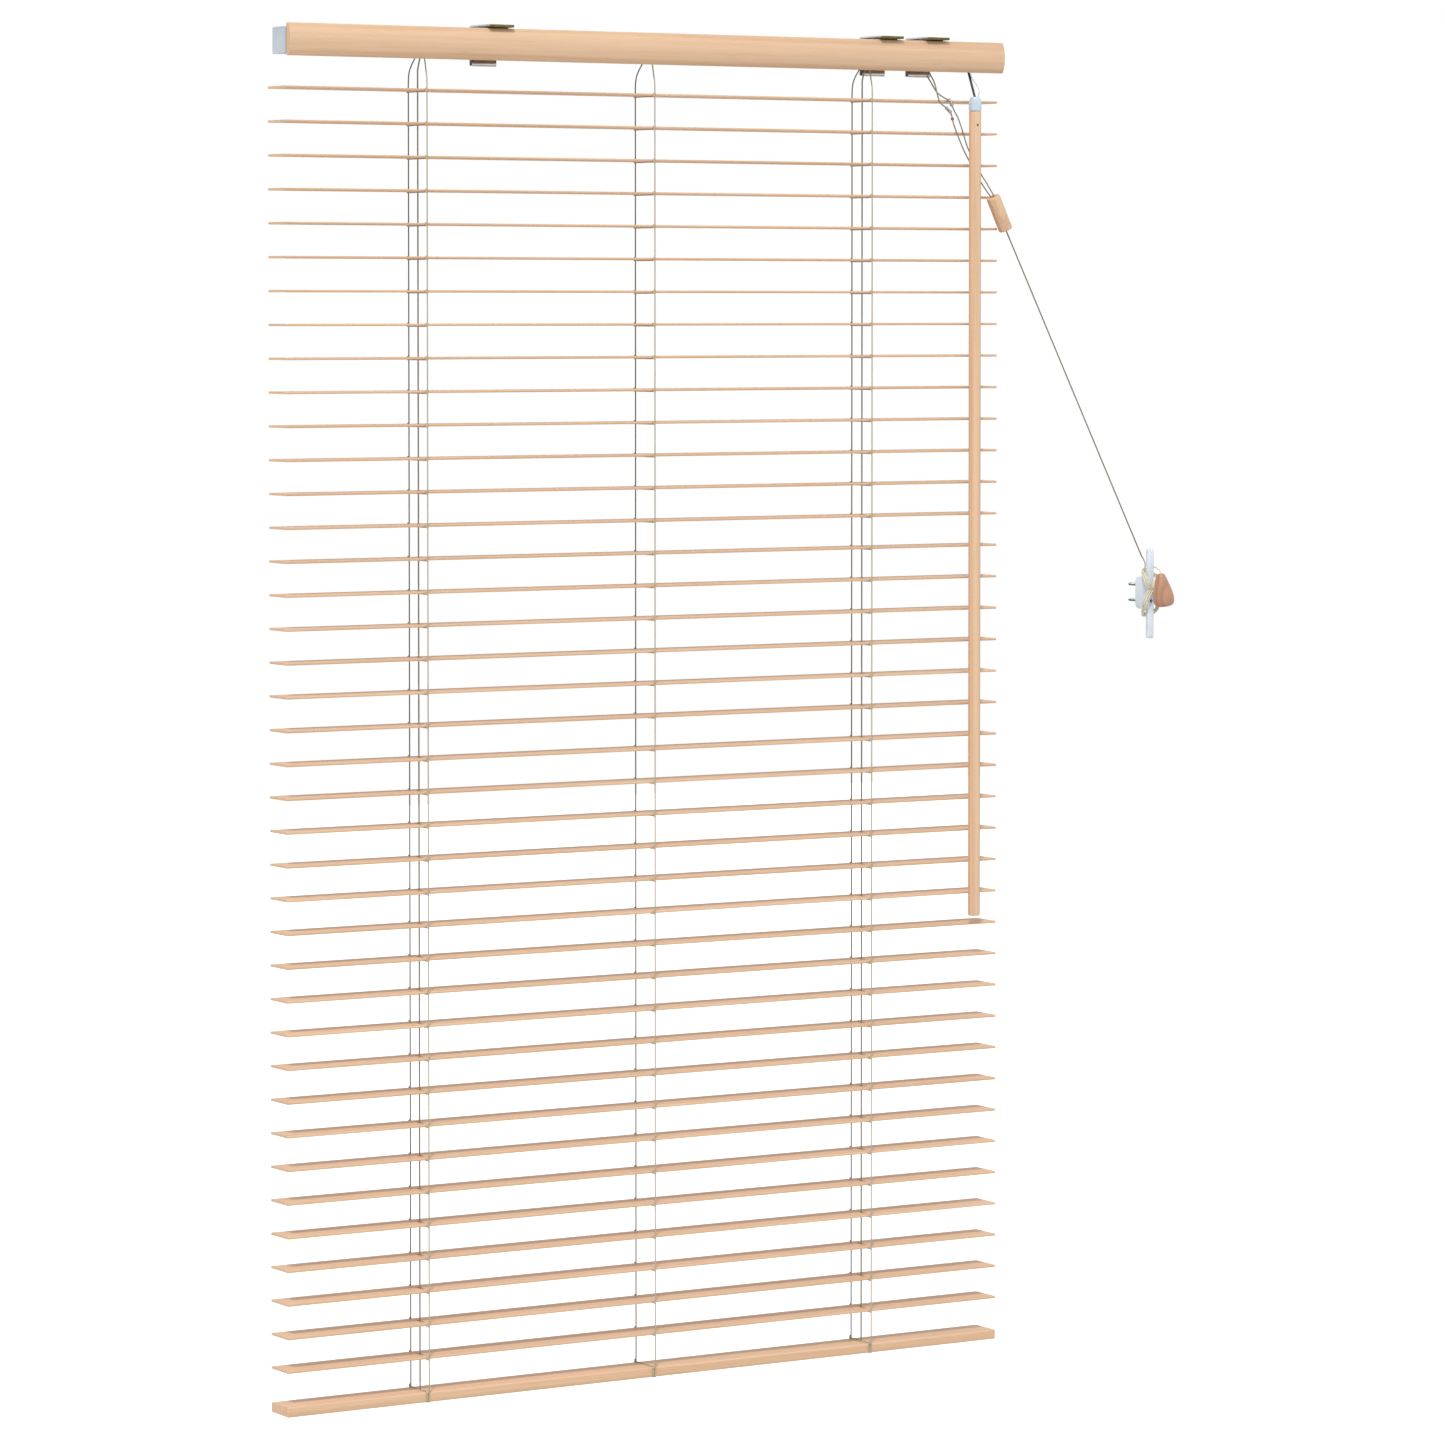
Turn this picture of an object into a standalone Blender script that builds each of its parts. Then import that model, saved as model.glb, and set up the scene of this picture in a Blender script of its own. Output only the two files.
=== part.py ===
"""Venetian blind with wooden slats, a turning wand, a cord lock and a wall cleat for the pull cord.

Units are metres, +Z is up and -Y is the room side. The origin is the middle of the left bracket's
top face, which is screwed up to a lintel or ceiling.
"""

from math import cos, pi, radians, sin

import bmesh
import bpy
from mathutils import Matrix, Vector

MM = 0.001
GAP = 0.3 * MM  # clearance between pieces that touch

# Slats and bottom rail
SLAT_COUNT = 39
SLAT_LENGTH = 796 * MM
SLAT_DEPTH = 35 * MM
SLAT_THICKNESS = 2.2 * MM
SLAT_PITCH = 31.5 * MM
FIRST_SLAT_Z = -62.65 * MM
SLAT_LEFT = -223 * MM
SLAT_RIGHT = SLAT_LEFT + SLAT_LENGTH
BLIND_MIDDLE = SLAT_LEFT + SLAT_LENGTH / 2
LADDER_SPACING = 249 * MM
LADDERS = [BLIND_MIDDLE + side * LADDER_SPACING for side in (-1, 0, 1)]
CORD_SLOT_LENGTH = 16 * MM  # front to back, so that the cord clears a slat at full tilt
CORD_SLOT_WIDTH = 4 * MM
BOTTOM_RAIL_HEIGHT = 9.4 * MM
BOTTOM_RAIL_Z = -1297.1 * MM

# Head rail: an open-topped channel
RAIL_FRONT, RAIL_BACK = -18 * MM, 8 * MM
RAIL_BOTTOM, RAIL_TOP = -31.7 * MM, -6.7 * MM
RAIL_WALL = 0.9 * MM
RAIL_LIP = 3 * MM
END_CAP = 1.2 * MM

# Valance: flat back, convex front
VALANCE_BACK = -22 * MM
VALANCE_EDGE = 4 * MM
VALANCE_CROWN = 8 * MM
VALANCE_BOTTOM, VALANCE_TOP = -34 * MM, -3.7 * MM
VALANCE_OVERHANG = 0.75 * MM

# Brackets
BRACKET_WIDTH = 26 * MM
BRACKET_MIDDLES = {"left": 0.0, "middle": 440 * MM, "right": 494 * MM}
BRACKET_SHEET = 1.5 * MM
BRACKET_FRONT = -30 * MM
WALL_Y = 9.8 * MM  # plane of the wall behind the brackets
BRACKET_BOTTOM = -38.6 * MM

# Tilt drive
ROD_Y, ROD_Z = -1 * MM, -19 * MM
ROD_RADIUS = 2.5 * MM
ROD_LEFT, ROD_RIGHT = -200 * MM, 551 * MM
DRUM_RADIUS, DRUM_WIDTH = 7 * MM, 9 * MM
WAND_X, WAND_Y = 540 * MM, -27 * MM
HINGE_BALL_Z = -59.5 * MM
STEM_SLANT = radians(24.4)  # from vertical, leaning back as it rises
WORM_TEETH = 9

# Wand
WAND_RADIUS = 6 * MM
WAND_TOP, WAND_BOTTOM = -72.3 * MM, -872.6 * MM
CAP_TOP, CAP_BOTTOM = -58 * MM, -72 * MM

# Cords
CORD_RADIUS = 0.7 * MM
CONDENSER_TOP = Vector((562.0, -26.0, -156.5)) * MM
CONDENSER_END = Vector((578.4, -25.0, -189.5)) * MM
CONDENSER_RADIUS = 7 * MM
CLEAT = Vector((758.8, -15.0, -556.6)) * MM
CLEAT_HALF_HEIGHT = 46 * MM
CLEAT_HALF_WIDTH = 4 * MM
CLEAT_BACK = 14.7 * MM  # from the middle of the cleat to the face that is screwed on
KNOB_TOP = CLEAT + Vector((-2.4, -27.8, 20.5)) * MM
KNOB_LENGTH = 33.5 * MM
KNOB_RADIUS = 10.7 * MM
KNOB_LEAN = radians(9)

COLOURS = {
    "wood": ((0.80, 0.56, 0.38), 0.55, 0.0),
    "dark_wood": ((0.62, 0.33, 0.20), 0.4, 0.0),
    "rail_metal": ((0.62, 0.67, 0.72), 0.35, 0.9),
    "plated_steel": ((0.50, 0.50, 0.48), 0.35, 1.0),
    "clear_plastic": ((0.72, 0.84, 0.93), 0.2, 0.0),
    "grey_plastic": ((0.55, 0.57, 0.58), 0.45, 0.0),
    "cord": ((0.78, 0.72, 0.60), 0.85, 0.0),
}


def material(kind):
    """The shared settings of one kind of material, as a new material."""
    colour, roughness, metallic = COLOURS[kind]
    made = bpy.data.materials.new(kind)
    made.use_nodes = True
    shader = made.node_tree.nodes["Principled BSDF"]
    shader.inputs["Base Color"].default_value = (*colour, 1)
    shader.inputs["Roughness"].default_value = roughness
    shader.inputs["Metallic"].default_value = metallic
    return made


def add_object(name, mesh, kind, place=(0, 0, 0)):
    mesh.materials.clear()
    mesh.materials.append(material(kind))
    made = bpy.data.objects.new(name, mesh)
    made.location = place
    bpy.context.collection.objects.link(made)
    return made


def mesh_from(bm, name):
    bmesh.ops.recalc_face_normals(bm, faces=bm.faces)
    mesh = bpy.data.meshes.new(name)
    bm.to_mesh(mesh)
    bm.free()
    return mesh


def box(low, high):
    """A box between two corners."""
    bm = bmesh.new()
    bmesh.ops.create_cube(bm, size=1)
    low, high = Vector(low), Vector(high)
    for vert in bm.verts:
        vert.co = Vector((low[i] + (high[i] - low[i]) * (vert.co[i] + 0.5) for i in range(3)))
    return bm


def extrude_along_x(outline, left, right):
    """A prism whose (y, z) outline runs from x = left to x = right."""
    bm = bmesh.new()
    face = bm.faces.new([bm.verts.new((left, y, z)) for y, z in outline])
    moved = bmesh.ops.extrude_face_region(bm, geom=[face])["geom"]
    top = [part for part in moved if isinstance(part, bmesh.types.BMVert)]
    bmesh.ops.translate(bm, verts=top, vec=(right - left, 0, 0))
    return bm


def turned(profile, sides):
    """A solid turned about Z from (radius, height) pairs, which start and end on the axis."""
    bm = bmesh.new()
    rings = []
    for radius, height in profile:
        if radius == 0:
            rings.append([bm.verts.new((0, 0, height))])
            continue
        angles = [2 * pi * i / sides for i in range(sides)]
        rings.append([bm.verts.new((radius * cos(a), radius * sin(a), height)) for a in angles])
    for lower, upper in zip(rings, rings[1:]):
        for i in range(sides):
            corners = [lower[i % len(lower)], lower[(i + 1) % len(lower)]]
            corners += [upper[(i + 1) % len(upper)], upper[i % len(upper)]]
            bm.faces.new(list(dict.fromkeys(corners)))
    return bm


def pointing(bm, start, direction):
    """Moves a solid turned about Z so that its Z axis runs from start along direction."""
    turn = Vector((0, 0, 1)).rotation_difference(Vector(direction)).to_matrix().to_4x4()
    bmesh.ops.transform(bm, matrix=Matrix.Translation(start) @ turn, verts=bm.verts)
    return bm


def rod_between(start, end, radius, sides=12):
    start, end = Vector(start), Vector(end)
    length = (end - start).length
    bm = turned([(0, 0), (radius, 0), (radius, length), (0, length)], sides)
    return pointing(bm, start, end - start)


def gear(teeth, root, tip, width):
    """A spur wheel on Z with plain trapezoid teeth."""
    bm = bmesh.new()
    step = 2 * pi / teeth
    outline = []
    for tooth in range(teeth):
        for share, radius in ((0.0, root), (0.35, root), (0.5, tip), (0.85, tip)):
            angle = (tooth + share) * step
            outline.append(bm.verts.new((radius * cos(angle), radius * sin(angle), -width / 2)))
    moved = bmesh.ops.extrude_face_region(bm, geom=[bm.faces.new(outline)])["geom"]
    top = [part for part in moved if isinstance(part, bmesh.types.BMVert)]
    bmesh.ops.translate(bm, verts=top, vec=(0, 0, width))
    return bm


def combined(base, operations):
    """The base solid with each (operation, solid) applied in turn by an exact Boolean, as a mesh."""
    body = bpy.data.objects.new("body", mesh_from(base, "body"))
    bpy.context.collection.objects.link(body)
    helpers = [body]
    for operation, bm in operations:
        tool = bpy.data.objects.new("tool", mesh_from(bm, "tool"))
        bpy.context.collection.objects.link(tool)
        helpers.append(tool)
        boolean = body.modifiers.new(operation, "BOOLEAN")
        boolean.operation = operation
        boolean.object = tool
    graph = bpy.context.evaluated_depsgraph_get()
    result = bpy.data.meshes.new_from_object(body.evaluated_get(graph))
    for helper in helpers:
        bpy.data.objects.remove(helper)
    return result


def smooth(mesh, angle=radians(35)):
    mesh.shade_smooth()
    mesh.set_sharp_from_angle(angle=angle)
    return mesh


def curve_through(points, steps=3):
    """A Catmull-Rom curve through the points, read at steps places for each stretch."""
    ends = [points[0] * 2 - points[1], *points, points[-1] * 2 - points[-2]]
    line = []
    for before, start, end, after in zip(ends, ends[1:], ends[2:], ends[3:]):
        for step in range(steps):
            t = step / steps
            bend = (before * 2 - start * 5 + end * 4 - after) * t**2
            twist = (start * 3 - before - end * 3 + after) * t**3
            line.append((start * 2 + (end - before) * t + bend + twist) / 2)
    return [*line, points[-1]]


def cord(name, points):
    """A cord of round section along a list of points."""
    curve = bpy.data.curves.new(name, "CURVE")
    curve.dimensions = "3D"
    curve.bevel_depth = CORD_RADIUS
    curve.bevel_resolution = 2
    curve.use_fill_caps = True
    spline = curve.splines.new("POLY")
    spline.points.add(len(points) - 1)
    for slot, point in zip(spline.points, points):
        slot.co = (*point, 1)
    return add_object(name, curve, "cord")


def slat_outline(depth, height, ease):
    """A flat bar's section with its four long edges eased."""
    y, z = depth / 2, height / 2
    return [
        (-y, -z + ease), (-y + ease, -z), (y - ease, -z), (y, -z + ease),
        (y, z - ease), (y - ease, z), (-y + ease, z), (-y, z - ease),
    ]


def slot_cutter(middle_x, sides=6):
    """A stadium-shaped prism, long from front to back, that goes right through a slat."""
    radius = CORD_SLOT_WIDTH / 2
    straight = CORD_SLOT_LENGTH / 2 - radius
    bm = bmesh.new()
    corners = []
    for end, first in ((1, 0.0), (-1, pi)):
        for i in range(sides + 1):
            angle = first + pi * i / sides
            x = middle_x + radius * cos(angle)
            corners.append(bm.verts.new((x, end * straight + radius * sin(angle), -SLAT_THICKNESS)))
    moved = bmesh.ops.extrude_face_region(bm, geom=[bm.faces.new(corners)])["geom"]
    top = [part for part in moved if isinstance(part, bmesh.types.BMVert)]
    bmesh.ops.translate(bm, verts=top, vec=(0, 0, 2 * SLAT_THICKNESS))
    return bm


def make_slats():
    """All slats share one mesh. The lift cords pass through the left and right ladder slots only."""
    outline = slat_outline(SLAT_DEPTH, SLAT_THICKNESS, 0.6 * MM)
    blank = extrude_along_x(outline, -SLAT_LENGTH / 2, SLAT_LENGTH / 2)
    cuts = [("DIFFERENCE", slot_cutter(side * LADDER_SPACING)) for side in (-1, 1)]
    mesh = combined(blank, cuts)
    for number in range(SLAT_COUNT):
        place = (BLIND_MIDDLE, 0, FIRST_SLAT_Z - number * SLAT_PITCH)
        add_object(f"slat_{number + 1:02d}", mesh, "wood", place)


def make_bottom_rail():
    outline = slat_outline(SLAT_DEPTH, BOTTOM_RAIL_HEIGHT, 1.2 * MM)
    bm = extrude_along_x(outline, -SLAT_LENGTH / 2, SLAT_LENGTH / 2)
    mesh = mesh_from(bm, "bottom_rail")
    add_object("bottom_rail", mesh, "wood", (BLIND_MIDDLE, 0, BOTTOM_RAIL_Z))


def stem_point(height):
    """A point on the slanted axis of the tilter's stem and worm, by its height."""
    lean = sin(STEM_SLANT) / cos(STEM_SLANT)
    return Vector((WAND_X, WAND_Y + (height - HINGE_BALL_Z) * lean, height))


def make_head_rail():
    wall, lip = RAIL_WALL, RAIL_LIP
    front, back, low, high = RAIL_FRONT, RAIL_BACK, RAIL_BOTTOM, RAIL_TOP
    outline = [
        (front, high), (front, low), (back, low), (back, high),
        (back - lip, high), (back - lip, high - wall), (back - wall, high - wall),
        (back - wall, low + wall), (front + wall, low + wall),
        (front + wall, high - wall), (front + lip, high - wall), (front + lip, high),
    ]
    inset = END_CAP + GAP
    channel = extrude_along_x(outline, SLAT_LEFT + inset, SLAT_RIGHT - inset)
    floor = (low - MM, low + wall + MM)
    half = 4.5 * MM
    cuts = []
    for x in LADDERS:
        corners = (x - half, -15 * MM, floor[0]), (x + half, 6 * MM, floor[1])
        cuts.append(("DIFFERENCE", box(*corners)))
    cord_exit = (490 * MM, -15 * MM, floor[0]), (503 * MM, -7.8 * MM, floor[1])
    cuts.append(("DIFFERENCE", box(*cord_exit)))
    stem_hole = rod_between(stem_point(low - 2 * MM), stem_point(low + 3 * MM), 2.2 * MM)
    cuts.append(("DIFFERENCE", stem_hole))
    add_object("head_rail", combined(channel, cuts), "rail_metal")


def make_end_caps():
    """A cover plate with a plug that fits inside the channel."""
    plug = 4.5 * MM
    clear = RAIL_WALL + GAP
    for side, edge, inward in (("left", SLAT_LEFT, 1), ("right", SLAT_RIGHT, -1)):
        xs = sorted((edge, edge + inward * END_CAP))
        plate = box((xs[0], RAIL_FRONT, RAIL_BOTTOM), (xs[1], RAIL_BACK, RAIL_TOP))
        xs = sorted((edge + inward * END_CAP / 2, edge + inward * plug))
        low = (xs[0], RAIL_FRONT + clear, RAIL_BOTTOM + clear)
        high = (xs[1], RAIL_BACK - clear, RAIL_TOP - clear)
        mesh = combined(plate, [("UNION", box(low, high))])
        add_object(f"end_cap_{side}", mesh, "rail_metal")


def make_valance(steps=10):
    middle = (VALANCE_BOTTOM + VALANCE_TOP) / 2
    half = (VALANCE_TOP - VALANCE_BOTTOM) / 2
    rise = VALANCE_CROWN - VALANCE_EDGE
    radius = (half**2 + rise**2) / (2 * rise)
    outline = [(VALANCE_BACK, VALANCE_TOP), (VALANCE_BACK, VALANCE_BOTTOM)]
    for i in range(steps + 1):
        height = half * (2 * i / steps - 1)
        bulge = (radius**2 - height**2) ** 0.5 - (radius - rise)
        outline.append((VALANCE_BACK - VALANCE_EDGE - bulge, middle + height))
    left, right = SLAT_LEFT - VALANCE_OVERHANG, SLAT_RIGHT + VALANCE_OVERHANG
    mesh = mesh_from(extrude_along_x(outline, left, right), "valance")
    add_object("valance", smooth(mesh, radians(20)), "wood")


def make_brackets():
    """Folded sheet: a top plate with a hemmed front, a grip in front of the rail, a back plate and a pocket."""
    sheet, back = BRACKET_SHEET, WALL_Y
    grip_back = RAIL_FRONT - GAP
    hem_back = BRACKET_FRONT + 8 * MM
    hem_low = VALANCE_TOP + GAP
    pocket_front = back - 6.5 * MM
    outline = [
        (back, 0), (BRACKET_FRONT, 0), (BRACKET_FRONT, hem_low), (hem_back, hem_low),
        (hem_back, -sheet), (grip_back - 1.1 * MM, -sheet), (grip_back - 1.1 * MM, -12 * MM),
        (grip_back, -12 * MM), (grip_back, -sheet), (back - sheet, -sheet),
        (back - sheet, BRACKET_BOTTOM + sheet), (pocket_front + sheet, BRACKET_BOTTOM + sheet),
        (pocket_front + sheet, BRACKET_BOTTOM + 2.3 * sheet),
        (pocket_front, BRACKET_BOTTOM + 2.3 * sheet), (pocket_front, BRACKET_BOTTOM),
        (back, BRACKET_BOTTOM),
    ]
    half = BRACKET_WIDTH / 2
    for side, middle in BRACKET_MIDDLES.items():
        gussets = []
        for x in (middle - half, middle + half - sheet):
            low = (x, pocket_front + 0.1 * MM, BRACKET_BOTTOM + 0.1 * MM)
            high = (x + sheet, back - 0.1 * MM, RAIL_BOTTOM - GAP)
            gussets.append(("UNION", box(low, high)))
        folded = extrude_along_x(outline, middle - half, middle + half)
        add_object(f"bracket_{side}", combined(folded, gussets), "plated_steel")


def make_tilt_rod():
    """The rod with a ladder drum at each ladder and the toothed wheel that the worm turns."""
    half, flange = DRUM_WIDTH / 2, 1.2 * MM
    profile = [(0, ROD_LEFT), (ROD_RADIUS, ROD_LEFT)]
    for x in LADDERS:
        waist = DRUM_RADIUS - 1.5 * MM
        profile += [(ROD_RADIUS, x - half), (DRUM_RADIUS, x - half), (DRUM_RADIUS, x - half + flange)]
        profile += [(waist, x - half + flange), (waist, x + half - flange)]
        profile += [(DRUM_RADIUS, x + half - flange), (DRUM_RADIUS, x + half), (ROD_RADIUS, x + half)]
    profile += [(ROD_RADIUS, ROD_RIGHT), (0, ROD_RIGHT)]
    wheel = gear(WORM_TEETH, 3.5 * MM, 4.4 * MM, 7 * MM)
    bmesh.ops.translate(wheel, verts=wheel.verts, vec=(0, 0, WAND_X))
    rod = combined(turned(profile, 12), [("UNION", wheel)])
    rod.transform(Matrix.Rotation(pi / 2, 4, "Y"))
    add_object("tilt_rod", smooth(rod), "plated_steel", (0, ROD_Y, ROD_Z))


def make_tilter():
    """A housing bored for the rod's wheel and for the slanted worm, and the worm with its stem."""
    low = (WAND_X - 13 * MM, RAIL_FRONT + 1.3 * MM, RAIL_BOTTOM + 1.3 * MM)
    high = (WAND_X + 13 * MM, 5.5 * MM, -9 * MM)
    wheel_bore = rod_between((low[0] - MM, ROD_Y, ROD_Z), (high[0] + MM, ROD_Y, ROD_Z), 5 * MM, 16)
    worm_low, worm_high = -25 * MM, -13 * MM
    room = 0.7 * MM
    worm_bore = rod_between(stem_point(worm_low - room), stem_point(worm_high + room), 2.9 * MM)
    stem_bore = rod_between(stem_point(low[2] - 2 * MM), stem_point(worm_low), 1.8 * MM)
    cuts = [("DIFFERENCE", bore) for bore in (wheel_bore, worm_bore, stem_bore)]
    add_object("tilter_housing", combined(box(low, high), cuts), "grey_plastic")

    up = stem_point(0) - stem_point(-MM)
    length = (stem_point(worm_high) - stem_point(HINGE_BALL_Z)).length
    worm_start = (stem_point(worm_low) - stem_point(HINGE_BALL_Z)).length
    ball, stem, root, crest = 1.9 * MM, 1.2 * MM, 1.7 * MM, 2.3 * MM
    profile = [(0, -ball)]
    profile += [(ball * cos(a), ball * sin(a)) for a in (radians(d) for d in (-60, -30, 0, 30))]
    profile += [(stem, 1.6 * MM), (stem, worm_start), (root, worm_start)]
    threads = 6
    thread = (length - worm_start) / threads
    for i in range(threads):
        start = worm_start + i * thread
        profile += [(root, start + 0.2 * thread), (crest, start + 0.45 * thread)]
        profile += [(crest, start + 0.75 * thread), (root, start + 0.95 * thread)]
    profile += [(root, length), (0, length)]
    worm = pointing(turned(profile, 12), (0, 0, 0), up)
    mesh = smooth(mesh_from(worm, "tilter_worm"))
    add_object("tilter_worm", mesh, "plated_steel", stem_point(HINGE_BALL_Z))


def make_wand():
    """A round rod under a moulded cap whose hollow top takes the stem's ball."""
    hollow, rim = 3.4 * MM, 4.4 * MM
    body = WAND_RADIUS + 0.3 * MM
    depth = CAP_TOP - CAP_BOTTOM
    profile = [
        (0, 0), (body, 0), (body, depth - 5 * MM), (body - 0.6 * MM, depth - 2.4 * MM),
        (rim + 0.4 * MM, depth - 0.5 * MM), (rim, depth), (hollow, depth),
        (hollow, depth - 6 * MM), (0, depth - 7 * MM),
    ]
    cap = smooth(mesh_from(turned(profile, 20), "wand_cap"))
    add_object("wand_cap", cap, "clear_plastic", (WAND_X, WAND_Y, CAP_BOTTOM))

    ease = 0.8 * MM
    length = WAND_TOP - WAND_BOTTOM
    profile = [
        (0, 0), (WAND_RADIUS - ease, 0), (WAND_RADIUS, ease),
        (WAND_RADIUS, length - ease), (WAND_RADIUS - ease, length), (0, length),
    ]
    wand = smooth(mesh_from(turned(profile, 20), "wand"))
    add_object("wand", wand, "wood", (WAND_X, WAND_Y, WAND_BOTTOM))


LOCK_PIVOT = (483 * MM, -16.5 * MM)  # x and z of the pawl's pin
LOCK_ROLLER = (489 * MM, -27.2 * MM)  # x and z of the bar that the cords run over


def make_cord_lock():
    """A housing open below with a bar for the cords to run over, and the pawl that pins them."""
    low = (476 * MM, RAIL_FRONT + 1.3 * MM, RAIL_BOTTOM + 1.3 * MM)
    high = (504 * MM, -6 * MM, -9 * MM)
    side = 1.5 * MM
    inner_low = (low[0] - MM, low[1] + side, low[2] - MM)
    inner_high = (high[0] + MM, high[1] - side, high[2] - side)
    across = (low[1] + side / 2, high[1] - side / 2)
    pins = []
    for (x, z), radius in ((LOCK_PIVOT, 1.2 * MM), (LOCK_ROLLER, 1.6 * MM)):
        pins.append(("UNION", rod_between((x, across[0], z), (x, across[1], z), radius)))
    mesh = combined(box(low, high), [("DIFFERENCE", box(inner_low, inner_high)), *pins])
    add_object("cord_lock", mesh, "grey_plastic")

    pivot_x, pivot_z = LOCK_PIVOT
    half_width = 3.4 * MM
    middle_y = (across[0] + across[1]) / 2
    outline = [(-2.4, 1.2), (-1.2, 2.4), (1.2, 2.4), (8.4, -3.2), (7.0, -6.2), (5.4, -6.4), (-2.4, -1.2)]
    bm = bmesh.new()
    front = [bm.verts.new((x * MM, -half_width, z * MM)) for x, z in outline]
    moved = bmesh.ops.extrude_face_region(bm, geom=[bm.faces.new(front)])["geom"]
    back = [part for part in moved if isinstance(part, bmesh.types.BMVert)]
    bmesh.ops.translate(bm, verts=back, vec=(0, 2 * half_width, 0))
    bore = rod_between((0, -2 * half_width, 0), (0, 2 * half_width, 0), 1.5 * MM)
    pawl = combined(bm, [("DIFFERENCE", bore)])
    add_object("cord_lock_pawl", pawl, "grey_plastic", (pivot_x, middle_y, pivot_z))


def in_mm(*points):
    return [Vector(point) * MM for point in points]


def lift_cord_routes():
    """Each lift cord climbs its ladder, crosses the head rail, leaves the lock and ends at the condenser."""
    condenser_back = (CONDENSER_TOP - CONDENSER_END).normalized() * GAP + CONDENSER_TOP
    low = BOTTOM_RAIL_Z + 19.5 * MM
    climb = in_mm((0, 0, -44), (0, -1.6, -39.5), (0, -3.6, -35), (0.4, -4.6, -31.4), (3, -5.2, -29.3))
    shared_climb = [Vector((0, 0, low)), Vector((0, 0, -0.1)), *climb]
    left_x, right_x = LADDERS[0], LADDERS[2]
    left = [point + Vector((left_x, 0, 0)) for point in shared_climb]
    left += in_mm((-58, -7.4, -29), (-30, -11.5, -29), (0, -12.8, -29), (440, -12.8, -29), (470, -12.8, -29))
    left += in_mm((479, -12.8, -28.2), (484.5, -12.8, -25.6), (489, -12.8, -24.5), (492.4, -12.9, -26.6))
    left += in_mm((494, -13, -31), (495.5, -13.2, -36), (498, -14.8, -41.5), (499.5, -16.6, -47.5))
    left += in_mm((500.3, -18.3, -54.3), (501.5, -19, -59.5), (504.5, -19.3, -65), (511, -19.3, -69.5))
    left += in_mm((516.5, -19.3, -75), (519, -19.3, -83.5), (523, -19.3, -93), (531, -19.3, -109.5))
    left += in_mm((538, -19.3, -121), (545, -19.8, -132), (551, -21.5, -142.5), (556, -23.4, -150.5))
    left.append(condenser_back + Vector((-2.0, 0, -0.9)) * MM)
    right = [point + Vector((right_x, 0, 0)) for point in shared_climb]
    right += in_mm((437, -7.2, -29), (452, -9.2, -29), (470, -9.6, -29))
    right += in_mm((479, -9.6, -28.2), (484.5, -9.6, -25.6), (489, -9.6, -24.5), (492, -9.7, -26.4))
    right += in_mm((493.4, -10, -31), (494, -10.8, -38), (496.5, -12.6, -43.5), (499.5, -15.4, -50.5))
    right += in_mm((501.8, -16.4, -54), (505, -17.8, -57), (509.5, -18.6, -59.5), (514, -19.1, -62))
    right += in_mm((517.5, -19.3, -67), (521, -19.3, -73), (525, -19.3, -79.5), (529.5, -19.3, -90))
    right += in_mm((535, -19.3, -105), (539, -19.3, -113), (545, -19.4, -123.5), (551.5, -20.4, -134))
    right += in_mm((557.5, -22.6, -144), (561.3, -24.6, -151.4))
    right.append(condenser_back + Vector((2.0, 0, 0.9)) * MM)
    return left, right


def make_lift_cords():
    for name, route in zip(("lift_cord_left", "lift_cord_right"), lift_cord_routes()):
        foot, climb = route[0], route[2:]
        cord(name, [foot, *curve_through(climb, 2)])


def make_condenser():
    length = (CONDENSER_END - CONDENSER_TOP).length
    radius, ease = CONDENSER_RADIUS, 0.9 * MM
    profile = [
        (0, 0), (radius - ease, 0), (radius, ease),
        (radius, length - ease), (radius - ease, length), (0, length),
    ]
    bm = pointing(turned(profile, 20), (0, 0, 0), CONDENSER_END - CONDENSER_TOP)
    mesh = smooth(mesh_from(bm, "cord_condenser"))
    add_object("cord_condenser", mesh, "wood", CONDENSER_TOP)


def winding(turns=3, steps=16):
    """The figure of eight that the pull cord makes round the cleat, each pass laid beside and over the last."""
    points = []
    for i in range(turns * steps + 1):
        turn = i / steps
        angle = 2 * pi * turn
        behind = cos(angle) ** 4
        crossing = (1 - behind) ** 4
        front = -11 * MM - 1.5 * MM * turn
        aside = 1.5 * MM * (turn - turns / 2) - 3.2 * MM
        x = 8 * MM * sin(2 * angle) + aside * crossing
        y = front + (4 * MM - front) * behind
        z = (20 * MM + 1.5 * MM * turn) * cos(angle) + 3 * MM * crossing
        points.append(CLEAT + Vector((x, y, z)))
    return points


def make_pull_cord():
    """From the condenser, taut to the cleat, wound on it, and on to the knob."""
    along = (CONDENSER_END - CONDENSER_TOP).normalized()
    start = CONDENSER_END + along * GAP
    approach = in_mm((-7.2, -0.6, 38.9), (-2, -0.2, 30.9), (-0.4, 2.2, 25))
    tail = in_mm((4.9, 1.5, 25), (6.2, -3, 26.3), (5.2, -9, 26), (2.7, -15.5, 24.8), (0.1, -21.7, 24.3), (-2.1, -27, 22.9))
    held = [CLEAT + point for point in approach]
    loose = [CLEAT + point for point in tail] + [KNOB_TOP + Vector((0, 0, 0.5 * MM))]
    cord("pull_cord", [start, *curve_through([*held, *winding(), *loose], 2)])


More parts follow.
